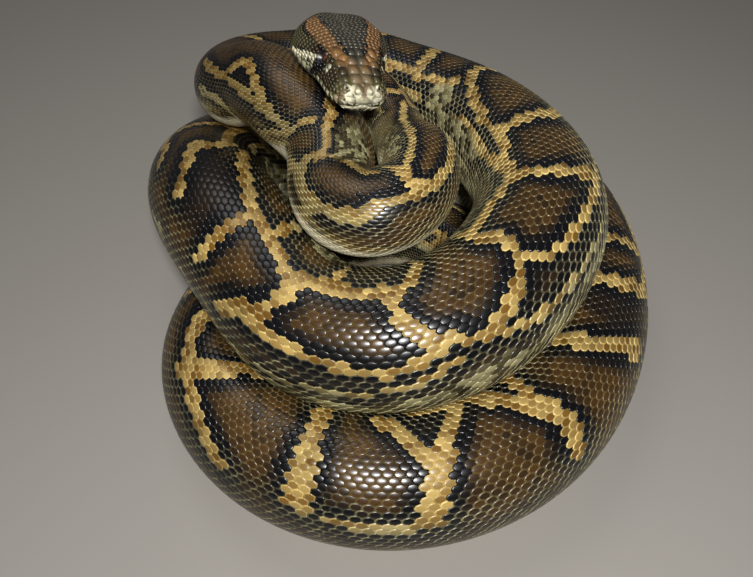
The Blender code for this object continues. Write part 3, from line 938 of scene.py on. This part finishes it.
def tiled(name, kind, behind, degrees, half_length, half_width, height, colours, rims, finish):
    """One mesh of many scales of a kind, laid on the body at their places."""
    places, rim_share, faces = kind
    count, corners = len(behind), len(places)
    u = behind[:, None] + half_length[:, None] * places[:, 0]
    angle = np.radians(degrees[:, None] + half_width[:, None] * places[:, 1])
    lift = height[:, None] * (places[:, 2] - 1)
    points = snake.surface(u, angle, lift).reshape(-1, 3)
    points[:, 2] = np.maximum(points[:, 2], 0)
    starts = (np.arange(count) * corners)[:, None, None]
    mesh = mesh_of(name, points, [(group[None] + starts).reshape(-1, group.shape[1])
                                  for group in faces])
    share = rim_share[None, :, None]
    tint = colours[:, None] * (1 - share) + rims[:, None] * share
    root = (places[:, 2] < 0)[None, :, None]
    tint = tint * (1 - (1 - ROOT_SHADE) * root)
    paint(mesh, tint.reshape(-1, 3))
    length = behind.max() - behind.min() + 1
    used = 1 - 2 * MAP_MARGIN
    across = MAP_MARGIN + used * ((degrees + 180) % 360) / 360
    down = MAP_MARGIN + used * (behind - behind.min()) / length
    map_places = np.stack([across[:, None] + PATCH / 2 * places[:, 1],
                           down[:, None] + PATCH / 2 * places[:, 0]], axis=-1)
    bake_map(mesh, map_places.reshape(-1, 2))
    return finished(name, mesh, finish, ())


def scale_height(behind):
    """Height of the scales in mm, which grow lower where the body is thin."""
    full = bpy.context.scene.python_sizes.scale_height / MM
    return full * np.clip(girth(behind) / FULL_GIRTH, LEAST_HEIGHT, 1)


def lattice(first, last, rows, spread, pitch):
    """Places of scales in offset rows: behind the snout, degrees, and half of the pitch there."""
    rings = [first]
    while rings[-1] < last:
        rings.append(rings[-1] + max(LEAST_PITCH, pitch * float(girth([rings[-1]])[0])))
    rings = np.array(rings[:-1])
    steps = np.maximum(LEAST_PITCH, pitch * girth(rings))
    row = np.arange(rows)
    behind = rings[:, None] + steps[:, None] * 0.5 * (row % 2)
    degrees = np.broadcast_to(-spread + 2 * spread * row / (rows - 1), behind.shape)
    half = np.broadcast_to(steps[:, None] / 2, behind.shape)
    return behind.ravel(), degrees.ravel(), half.ravel()


def head_surface_tree():
    """Search tree of the head's folded surface."""
    places = np.concatenate([np.linspace(-CAP, 0, 5)[:-1], np.arange(0, HEAD_END - 4, 0.8)])
    u, angle = np.meshgrid(places, snake.arc_angles, indexing="ij")
    points = snake.surface(u, angle, 0 * u)
    row, column = np.meshgrid(np.arange(len(places) - 1), np.arange(HEAD_ANGLES), indexing="ij")
    across = HEAD_ANGLES + 1
    first = (row * across + column).ravel()
    faces = np.stack([first, first + 1, first + across + 1, first + across], axis=1)
    return BVHTree.FromPolygons(points.reshape(-1, 3).tolist(), faces.tolist())


def head_seeds():
    """Middles of the head's shields.

    Each is (behind the snout, angle, half length, half width, kind): kind 2 is a large shield, 1 a
    small scale, and 0 only keeps its room clear, as for an eye.
    """
    seeds = []
    for behind, across, length, width in CROWN_SHIELDS:
        for side in ((-1, 1) if across else (1,)):
            angle = snake.angle_of_arc(behind, side * across)
            seeds.append((behind, angle, length, width, 2))
    line = np.arange(0, MOUTH_CORNER, 0.25)
    for rise, spacing, length, height in LIP_ROWS:
        angles = np.array([snake.angle_of_height(b, float(mouth_height(b)) + rise) for b in line])
        run = run_lengths(snake.head(line, angles, 0 * line))
        start = spacing * 0.5 if rise > 0 else 1.0
        for place in np.arange(start, run[-1], spacing):
            behind = float(np.interp(place, run, line))
            angle = float(np.interp(place, run, angles))
            for side in (-1, 1):
                seeds.append((behind, side * angle, length, height, 2))
    eye = snake.angle_of_height(EYE_BACK, EYE_UP)
    per_arc = (snake.angle_of_arc(EYE_BACK, EYE_ARC + 4) - eye) / 4
    for side in (-1, 1):
        seeds.append((EYE_BACK, side * eye, EYE_ROOM, EYE_ROOM, 0))
        count, out, size = EYE_RING
        for turn in np.arange(count) * 2 * math.pi / count:
            angle = side * (eye + out * math.sin(turn) * per_arc)
            seeds.append((EYE_BACK + out * math.cos(turn), angle, size, size, 1))
        nostril = side * snake.angle_of_arc(NOSTRIL_BACK, NOSTRIL_ARC)
        seeds.append((NOSTRIL_BACK, nostril, NOSTRIL_ROOM, NOSTRIL_ROOM, 0))
    placed = np.array(seeds)
    points = snake.surface(placed[:, 0], placed[:, 1], np.zeros(len(placed)))
    rooms = placed[:, 2:4].min(axis=1)
    small = []
    behind, ring = 2.0, 0
    while behind < SCALES_FROM + 8:
        length = float(np.interp(behind, SMALL_PLACES, SMALL_LENGTHS))
        width = float(np.interp(behind, SMALL_PLACES, SMALL_WIDTHS))
        round_it = snake.arc_of(np.array([behind]), np.array([math.pi - 1e-6]))[0] * 2
        count = int(round_it / width)
        for k in range(count):
            angle = 2 * math.pi * (k + 0.5 * (ring % 2)) / count - math.pi
            point = snake.surface(np.array([behind]), np.array([angle]), np.zeros(1))[0]
            gaps = np.linalg.norm(points - point, axis=1)
            if (gaps > rooms + SMALL_ROOM * width).all():
                kind = 1 if behind < SCALES_FROM - 1 else 0
                small.append((behind, angle, length / 2, width / 2, kind))
        behind += length * SMALL_STEP
        ring += 1
    return np.array(seeds + small)


def grown_shields(seeds, tree, chosen, directions, rings):
    """Points, faces, places on the unwrapped head and rim shares of the chosen shields.

    A shield grows from its middle until it meets its neighbours. Its rings run from the root
    inwards.
    """
    behind, angle = seeds[:, 0], seeds[:, 1]
    points = snake.surface(behind, angle, np.zeros(len(seeds)))
    along = snake.surface(behind + 0.4, angle, np.zeros(len(seeds))) - points
    across = snake.surface(behind, angle + 0.01, np.zeros(len(seeds))) - points
    across /= np.linalg.norm(across, axis=1)[:, None]
    normal = np.cross(across, along)
    normal /= np.linalg.norm(normal, axis=1)[:, None]
    along = np.cross(normal, across)
    turns = np.arange(directions) * 2 * math.pi / directions
    c, s = np.cos(turns), np.sin(turns)
    arcs = snake.arc_of(behind, angle)
    shares = np.array([ring[0] for ring in rings])
    heights = np.array([ring[1] for ring in rings])
    found, maps = [], []
    for k in chosen:
        away = points - points[k]
        gaps = np.linalg.norm(away, axis=1)
        near = np.argsort(gaps)[1:SHIELD_NEIGHBOURS + 1]
        a, b = away[near] @ along[k], away[near] @ across[k]
        flat = np.hypot(a, b) + 1e-9
        a, b = a / flat, b / flat
        own = 1 / np.hypot(a / seeds[k, 2], b / seeds[k, 3])
        other = 1 / np.hypot(a / seeds[near, 2], b / seeds[near, 3])
        limit = gaps[near] * own / (own + other)
        facing = np.maximum(0, c[:, None] * a + s[:, None] * b) / limit
        reach = (facing ** SHIELD_SQUARENESS).sum(axis=1) ** (-1 / SHIELD_SQUARENESS)
        most = SHIELD_GROWTH / np.hypot(c / seeds[k, 2], s / seeds[k, 3])
        reach = np.minimum(reach, most) - SHIELD_GAP
        for share, height in zip(shares, heights):
            u, v = reach * share * c, reach * share * s
            for du, dv in (zip(u, v) if share else ((0.0, 0.0),)):
                aim = points[k] + du * along[k] + dv * across[k]
                spot, facing_out, _, _ = tree.find_nearest(aim)
                lean = 0.12 * du / seeds[k, 2] if height > 0 else 0
                found.append(np.array(spot) + (height + lean) * np.array(facing_out))
                maps.append((behind[k] + du, arcs[k] + dv))
    corner = np.arange(directions)
    following = (corner + 1) % directions
    faces = []
    for ring in range(len(rings) - 2):
        low, high = ring * directions, (ring + 1) * directions
        faces.append(np.stack([low + following, low + corner, high + corner, high + following], 1))
    top = (len(rings) - 2) * directions
    middle = (len(rings) - 1) * directions
    caps = [np.stack([top + following, top + corner, np.full(directions, middle)], axis=1)]
    caps.append(np.stack([np.zeros(directions - 2, int), corner[1:-1], corner[2:]], axis=1))
    size = middle + 1
    starts = (np.arange(len(chosen)) * size)[:, None, None]
    grown = [(group[None] + starts).reshape(-1, group.shape[1]) for group in faces + caps]
    rims = np.concatenate([np.full(directions, ring[2]) for ring in rings[:-1]] + [[rings[-1][2]]])
    return np.array(found), grown, np.array(maps), np.tile(rims, len(chosen)), size


# ---------------------------------------------------------------- finishes


def node(tree, kind, settings=None, links=None):
    """Adds a node with its settings and with links from other nodes' sockets."""
    made = tree.nodes.new(kind)
    for key, value in (settings or {}).items():
        if isinstance(key, int) or key in made.inputs:
            made.inputs[key].default_value = value
        else:
            setattr(made, key, value)
    for key, source in (links or {}).items():
        tree.links.new(source, made.inputs[key])
    return made


def new_finish(name):
    """Empty material with its node tree, shader and output."""
    made = bpy.data.materials.new(name)
    made.use_nodes = True
    tree = made.node_tree
    tree.nodes.clear()
    shader = node(tree, "ShaderNodeBsdfPrincipled")
    node(tree, "ShaderNodeOutputMaterial", links={"Surface": shader.outputs["BSDF"]})
    return made, tree, shader


def keratin(name, roughness, coat):
    """Snake scale: smooth clear keratin over pigment, which shines and has faint grain."""
    made, tree, shader = new_finish(name)
    place = node(tree, "ShaderNodeTexCoord").outputs["Object"]
    tint = node(tree, "ShaderNodeAttribute", {"attribute_name": "tint"}).outputs["Color"]
    # pigment grain, about 0.7 mm
    grain = node(tree, "ShaderNodeTexNoise", {"Scale": 1400.0, "Detail": 3.0}, {"Vector": place})
    # broad change of tone over some 4 cm
    cloud = node(tree, "ShaderNodeTexNoise", {"Scale": 26.0, "Detail": 2.0}, {"Vector": place})
    blend = node(tree, "ShaderNodeMath", {"operation": "MULTIPLY_ADD", 1: 0.45, 2: 0.55},
                 {0: grain.outputs["Fac"]})
    tone = node(tree, "ShaderNodeMath", {"operation": "MULTIPLY_ADD", 2: 0.0},
                {0: cloud.outputs["Fac"], 1: blend.outputs[0]})
    tone = node(tree, "ShaderNodeMath", {"operation": "MULTIPLY_ADD", 1: 1.3, 2: 0.5},
                {0: tone.outputs[0]})
    colour = node(tree, "ShaderNodeVectorMath", {"operation": "SCALE"},
                  {0: tint, "Scale": tone.outputs[0]})
    tree.links.new(colour.outputs["Vector"], shader.inputs["Base Color"])
    rough = node(tree, "ShaderNodeMath", {"operation": "MULTIPLY_ADD", 1: 0.16,
                                          2: roughness - 0.08}, {0: cloud.outputs["Fac"]})
    tree.links.new(rough.outputs[0], shader.inputs["Roughness"])
    bump = node(tree, "ShaderNodeBump", {"Strength": 0.12, "Distance": 0.0002},
                {"Height": grain.outputs["Fac"]})
    tree.links.new(bump.outputs["Normal"], shader.inputs["Normal"])
    shader.inputs["IOR"].default_value = 1.54
    shader.inputs["Specular IOR Level"].default_value = 0.36
    shader.inputs["Coat Weight"].default_value = coat
    shader.inputs["Coat Roughness"].default_value = 0.14
    return made


def wet_eye(name, colour):
    """Eye under its clear spectacle: a glassy wet coat over a flecked iris and an upright slit."""
    made, tree, shader = new_finish(name)
    gaze = node(tree, "ShaderNodeAttribute", {"attribute_name": "gaze"}).outputs["Vector"]
    part = node(tree, "ShaderNodeSeparateXYZ", links={"Vector": gaze})
    fleck = node(tree, "ShaderNodeTexNoise", {"Scale": 9.0, "Detail": 4.0}, {"Vector": gaze})
    iris = node(tree, "ShaderNodeMix", {"data_type": "RGBA"}, {"Factor": fleck.outputs["Fac"]})
    iris.inputs["A"].default_value = (*[c * 0.35 for c in colour], 1)
    iris.inputs["B"].default_value = (*[c * 1.9 for c in colour], 1)
    # the slit: half as wide as a twelfth of the ball and reaching most of the way up it
    narrow = node(tree, "ShaderNodeMath", {"operation": "MULTIPLY", 1: 6.0}, {0: part.outputs["X"]})
    tall = node(tree, "ShaderNodeMath", {"operation": "MULTIPLY", 1: 1.9}, {0: part.outputs["Y"]})
    both = node(tree, "ShaderNodeCombineXYZ", links={"X": narrow.outputs[0], "Y": tall.outputs[0]})
    size = node(tree, "ShaderNodeVectorMath", {"operation": "LENGTH"}, {0: both.outputs[0]})
    slit = node(tree, "ShaderNodeMapRange", {"From Min": 0.9, "From Max": 1.1},
                {"Value": size.outputs["Value"]})
    # the iris ends in a dark ring
    ring = node(tree, "ShaderNodeMapRange", {"From Min": 0.62, "From Max": 0.72},
                {"Value": part.outputs["Z"]})
    share = node(tree, "ShaderNodeMath", {"operation": "MULTIPLY"},
                 {0: slit.outputs["Result"], 1: ring.outputs["Result"]})
    shown = node(tree, "ShaderNodeMix", {"data_type": "RGBA"}, {"Factor": share.outputs[0]})
    shown.inputs["A"].default_value = (0.004, 0.003, 0.004, 1)
    tree.links.new(iris.outputs["Result"], shown.inputs["B"])
    tree.links.new(shown.outputs["Result"], shader.inputs["Base Color"])
    shader.inputs["Roughness"].default_value = 0.25
    shader.inputs["IOR"].default_value = 1.4
    shader.inputs["Coat Weight"].default_value = 1.0
    shader.inputs["Coat Roughness"].default_value = 0.03
    return made


def studio_paper(name, colour):
    """Matt seamless grey paper, with a faint change of tone so that it isn't dead flat."""
    made, tree, shader = new_finish(name)
    place = node(tree, "ShaderNodeTexCoord").outputs["Object"]
    cloud = node(tree, "ShaderNodeTexNoise", {"Scale": 3.0, "Detail": 2.0}, {"Vector": place})
    ramp = node(tree, "ShaderNodeMix", {"data_type": "RGBA"}, {"Factor": cloud.outputs["Fac"]})
    ramp.inputs["A"].default_value = (*colour, 1)
    ramp.inputs["B"].default_value = (*[c * 0.96 for c in colour], 1)
    tree.links.new(ramp.outputs["Result"], shader.inputs["Base Color"])
    shader.inputs["Roughness"].default_value = 0.9
    return made


# ---------------------------------------------------------------- settings


def colour_property(name, code, description):
    """Colour setting with an sRGB default."""
    return FloatVectorProperty(name=name, subtype="COLOR", size=3, min=0, max=1,
                               default=linear(code), description=description)


class PythonSizes(bpy.types.PropertyGroup):
    """Sizes of the scales and shields."""

    scale_height: FloatProperty(name="Scale height", default=0.0013, min=0.0003, max=0.003,
                                unit="LENGTH",
                                description="Height of a scale's crown over the skin")
    scale_rows: IntProperty(name="Scale rows", default=55, min=21, max=75,
                            description="Rows of scales round the back and flanks")
    scale_pitch: FloatProperty(name="Scale pitch", default=0.133, min=0.08, max=0.3,
                               description="Length of a scale as a share of the body's radius")
    scale_spread: FloatProperty(name="Scaled half", default=142.0, min=90, max=170,
                                description="Degrees from the back to the belly shields")
    shield_pitch: FloatProperty(name="Belly shield pitch", default=0.2, min=0.1, max=0.4,
                                description="Length of a belly shield as a share of the radius")


class PythonColours(bpy.types.PropertyGroup):
    """Colours of the markings."""

    golden: colour_property("Golden", "#614417", "Middle of the scales of the tan net")
    straw: colour_property("Straw", "#cab06c", "Rims of the scales of the tan net")
    saddle: colour_property("Saddle brown", "#3f2a0f", "Middle of the saddles")
    saddle_dark: colour_property("Saddle shade", "#1a1109", "Darker scales of the saddles")
    black: colour_property("Black", "#050507", "Borders of the saddles and side spots")
    olive: colour_property("Olive", "#565030", "Flanks between the side spots")
    cream: colour_property("Cream", "#b9b083", "Pale scales of the flanks")
    belly: colour_property("Belly", "#d8cfae", "Belly shields")
    crown: colour_property("Crown", "#4f4a3d", "Dark spearhead on the head")
    band: colour_property("Crown bands", "#936c40", "Tan band each side of the spearhead")
    snout: colour_property("Snout", "#7b6a4c", "Top of the snout")
    lore: colour_property("Cheek", "#40351c", "Cheek before the eye")
    lip: colour_property("Lip", "#b5b18c", "Upper lip")
    streak: colour_property("Streak", "#e2dcba", "Pale streak behind the eye, and the snout's tip")
    iris: colour_property("Iris", "#4a2c1c", "Iris of the eye")
    paper: colour_property("Studio floor", "#8b867f", "Floor that the snake lies on")


# ---------------------------------------------------------------- operators and panel


class PYTHON_OT_skin(bpy.types.Operator):
    """One unbroken skin from the snout to the tip of the tail"""

    bl_idname = "python.skin"
    bl_label = "Skin"

    def execute(self, context):
        places = np.concatenate([
            [-CAP, -CAP / 2], np.arange(0, BLEND_TO, HEAD_STEP),
            np.arange(BLEND_TO, snake.length - 4, SKIN_STEP),
            [snake.length - 2, snake.length - 0.5, snake.length]])
        grid = bmesh.new()
        bmesh.ops.create_grid(grid, x_segments=len(places) - 1, y_segments=SKIN_SIDES, size=0.5)
        mesh = bpy.data.meshes.new("skin")
        grid.to_mesh(mesh)
        spots = corner_places(mesh)
        behind = np.interp(spots[:, 0] + 0.5, np.linspace(0, 1, len(places)), places)
        angle = (spots[:, 1].astype(float) + 0.5) * 2 * math.pi - math.pi
        depth = np.where(behind < SCALES_FROM, HEAD_SKIN_DEPTH, scale_height(behind))
        points = snake.surface(behind, angle, -depth)
        points[:, 2] = np.maximum(points[:, 2], 0)
        for ring in (behind < 1e-6 - CAP, behind > snake.length - 1e-6):
            points[ring] = points[ring].mean(axis=0)
        place_corners(mesh, points)
        chance = np.random.default_rng(3)
        middle, _ = scale_colours(np.maximum(behind, 0), np.degrees(angle), chance)
        on_head = behind < SCALES_FROM
        middle[on_head] = head_colours(behind[on_head], snake.arc_of(behind, angle)[on_head])
        paint(mesh, middle * SKIN_SHADE)
        grid.clear()
        grid.from_mesh(mesh)
        bmesh.ops.remove_doubles(grid, verts=grid.verts, dist=0.000002)
        grid.to_mesh(mesh)
        grid.free()
        finished("skin", mesh, keratin("snake_skin", 0.45, 0.1), ("head",) + BODY_NODES)
        return {"FINISHED"}


class PYTHON_OT_head_shields(bpy.types.Operator):
    """Large shields of the crown, snout and lips, with small scales between them"""

    bl_idname = "python.head_shields"
    bl_label = "Head shields"

    def execute(self, context):
        tree = head_surface_tree()
        seeds = head_seeds()
        chance = np.random.default_rng(23)
        finish = keratin("head_shields", 0.4, 0.12)
        for name, kind, directions, rings in HEAD_PIECES:
            chosen = np.nonzero(seeds[:, 4] == kind)[0]
            points, faces, places, rims, size = grown_shields(
                seeds, tree, chosen, directions, rings)
            mesh = mesh_of(name, points, faces)
            where = places
            if kind == 1:
                where = np.repeat(places.reshape(-1, size, 2)[:, -1], size, axis=0)
            tint = head_colours(where[:, 0], where[:, 1])
            tone = np.repeat(1 + 0.13 * chance.uniform(-1, 1, len(chosen)), size)
            tint = tint * (tone * (1 - 0.35 * rims))[:, None]
            paint(mesh, tint)
            bake_map(mesh, np.stack([0.5 + places[:, 1] / HEAD_MAP[1],
                                     (places[:, 0] + HEAD_MAP_START) / HEAD_MAP[0]], axis=1))
            finished(name, mesh, finish, ())
        return {"FINISHED"}


class PYTHON_OT_eyes(bpy.types.Operator):
    """Eyes with a brown iris and an upright slit pupil under their clear spectacles"""

    bl_idname = "python.eyes"
    bl_label = "Eyes"

    def execute(self, context):
        finish = wet_eye("eye_under_spectacle", context.scene.python_colours.iris[:3])
        for name, side in (("eye_right", 1), ("eye_left", -1)):
            made = bmesh.new()
            bmesh.ops.create_uvsphere(made, u_segments=48, v_segments=32, radius=EYE_RADIUS)
            mesh = bpy.data.meshes.new("iris_" + name)
            made.to_mesh(mesh)
            made.free()
            ball = corner_places(mesh).astype(float)
            # the ball's pole looks out, a little up and forwards
            out = np.array([side * math.cos(GAZE_UP) * math.cos(GAZE_ON),
                            math.cos(GAZE_UP) * math.sin(GAZE_ON), math.sin(GAZE_UP)])
            upright = np.array([0, 0, 1.0]) - out[2] * out
            upright /= np.linalg.norm(upright)
            beside = np.cross(upright, out)
            local = (ball[:, :1] * beside + ball[:, 1:2] * upright + ball[:, 2:] * out)
            local += (side * EYE_SIDE, -EYE_BACK, EYE_UP)
            points = snake.head_place(local[:, 0], -local[:, 1], local[:, 2])
            place_corners(mesh, points)
            gaze = mesh.attributes.new("gaze", "FLOAT_VECTOR", "POINT")
            gaze.data.foreach_set("vector", (ball / EYE_RADIUS).astype(np.float32).ravel())
            finished("ball_" + name, mesh, finish, (name,))
        return {"FINISHED"}


class PYTHON_OT_scales(bpy.types.Operator):
    """Rows of small overlapping scales over the back and flanks, in one piece for each length"""

    bl_idname = "python.scales"
    bl_label = "Body scales"

    def execute(self, context):
        sizes = context.scene.python_sizes
        finish = keratin("snake_scales", 0.3, 0.06)
        fine, plain = plate(FINE_CORNERS), plate(PLAIN_CORNERS)
        chance = np.random.default_rng(11)
        start = SCALES_FROM
        for name, end in LENGTHS:
            tail = name == "tail"
            rows = TAIL_ROWS if tail else sizes.scale_rows
            pitch = TAIL_PITCH if tail else sizes.scale_pitch
            last = min(end, snake.length - 3)
            behind, degrees, half = lattice(start, last, rows, sizes.scale_spread, pitch)
            width = np.full(behind.shape, SCALE_WIDTH * 2 * sizes.scale_spread / (rows - 1))
            middle, rim = scale_colours(behind, degrees, chance)
            kind = fine if end < PLAIN_FROM else plain
            tiled("scales_" + name, kind, behind, degrees, half * SCALE_LAP, width,
                  scale_height(behind), middle, rim, finish)
            start = behind.max() + 0.5 * half[-1]
        return {"FINISHED"}


class PYTHON_OT_belly(bpy.types.Operator):
    """Broad overlapping belly shields from the throat to the tail"""

    bl_idname = "python.belly"
    bl_label = "Belly shields"

    def execute(self, context):
        sizes = context.scene.python_sizes
        made = bmesh.new()
        bmesh.ops.create_grid(made, x_segments=2, y_segments=12, size=1)
        for corner in made.verts:
            a, b = corner.co.x, corner.co.y
            corner.co.z = 0.7 + 0.3 * a
            corner.co.x = a * (1 - 0.35 * abs(b) ** 6) + 0.1 * (a > 0)
        edge = [e for e in made.edges if e.is_boundary]
        walls = bmesh.ops.extrude_edge_only(made, edges=edge)["geom"]
        for corner in [p for p in walls if isinstance(p, bmesh.types.BMVert)]:
            corner.co.z = ROOT_HEIGHT
        made.verts.index_update()
        places = np.array([corner.co[:] for corner in made.verts])
        rims = np.array([float(any(e.is_boundary or e.calc_face_angle(0) > 0.8
                                   for e in corner.link_edges)) for corner in made.verts])
        faces = [np.array([[c.index for c in face.verts] for face in made.faces])]
        made.free()
        behind, _, half = lattice(SCALES_FROM + 4, snake.length - 8, 2, 1, sizes.shield_pitch)
        behind, half = behind[::2], half[::2]
        count = len(behind)
        degrees = np.full(count, 180.0)
        width = np.full(count, 180.0 - sizes.scale_spread + 3)
        chance = np.random.default_rng(17)
        pale = np.array(context.scene.python_colours.belly[:3])
        middle = pale * (1 + 0.08 * chance.uniform(-1, 1, (count, 1)))
        tiled("belly_shields", (places, rims, faces), behind, degrees, half, width,
              scale_height(behind), middle, middle * 0.8, keratin("belly_shield", 0.38, 0.3))
        return {"FINISHED"}


class PYTHON_OT_stage(bpy.types.Operator):
    """Grey studio floor, a small key light, a softbox and the camera"""

    bl_idname = "python.stage"
    bl_label = "Studio"

    def execute(self, context):
        scene = context.scene
        made = bmesh.new()
        bmesh.ops.create_grid(made, x_segments=1, y_segments=1, size=6)
        mesh = bpy.data.meshes.new("studio_floor")
        made.to_mesh(mesh)
        made.free()
        mesh.materials.append(studio_paper("studio_paper", scene.python_colours.paper[:3]))
        floor = bpy.data.objects.new("studio_floor", mesh)
        scene.collection.objects.link(floor)
        world = bpy.data.worlds.new("studio")
        world.use_nodes = True
        world.node_tree.nodes["Background"].inputs["Color"].default_value = (0.95, 0.975, 1.0, 1)
        world.node_tree.nodes["Background"].inputs["Strength"].default_value = 0.1
        scene.world = world
        for name, place, size, power in LIGHTS:
            lamp = bpy.data.lights.new(name, "AREA")
            lamp.shape = "DISK"
            lamp.size = size
            lamp.energy = power
            lit = bpy.data.objects.new(name, lamp)
            lit.location = place
            aim = Vector(LIT_POINT) - Vector(place)
            lit.rotation_euler = aim.to_track_quat("-Z", "Y").to_euler()
            scene.collection.objects.link(lit)
        lens = bpy.data.cameras.new("camera")
        lens.sensor_width = SENSOR
        lens.lens = FOCAL_LENGTH
        lens.clip_start = 0.01
        camera = bpy.data.objects.new("camera", lens)
        camera.location = CAMERA_AT
        aim = Vector(CAMERA_AIM) - Vector(CAMERA_AT)
        camera.rotation_euler = aim.to_track_quat("-Z", "Y").to_euler()
        scene.collection.objects.link(camera)
        scene.camera = camera
        scene.view_settings.view_transform = "Standard"
        return {"FINISHED"}


OPERATORS = (PYTHON_OT_skin, PYTHON_OT_head_shields, PYTHON_OT_eyes, PYTHON_OT_scales,
             PYTHON_OT_belly, PYTHON_OT_stage)


class PYTHON_PT_sidebar(bpy.types.Panel):
    """Sizes, colours and the pieces to build"""

    bl_label = "Coiled Python"
    bl_idname = "PYTHON_PT_sidebar"
    bl_space_type = "VIEW_3D"
    bl_region_type = "UI"
    bl_category = "Python"

    def draw(self, context):
        for group in (context.scene.python_sizes, context.scene.python_colours):
            for name in group.__annotations__:
                self.layout.prop(group, name)
        for operator in OPERATORS:
            self.layout.operator(operator.bl_idname)


CLASSES = (PythonSizes, PythonColours) + OPERATORS + (PYTHON_PT_sidebar,)


def register():
    for kind in CLASSES:
        bpy.utils.register_class(kind)
    bpy.types.Scene.python_sizes = PointerProperty(type=PythonSizes)
    bpy.types.Scene.python_colours = PointerProperty(type=PythonColours)


def unregister():
    del bpy.types.Scene.python_colours
    del bpy.types.Scene.python_sizes
    for kind in reversed(CLASSES):
        bpy.utils.unregister_class(kind)


def main():
    register()
    for operator in OPERATORS:
        group, name = operator.bl_idname.split(".")
        getattr(getattr(bpy.ops, group), name)()


if __name__ == "__main__":
    main()
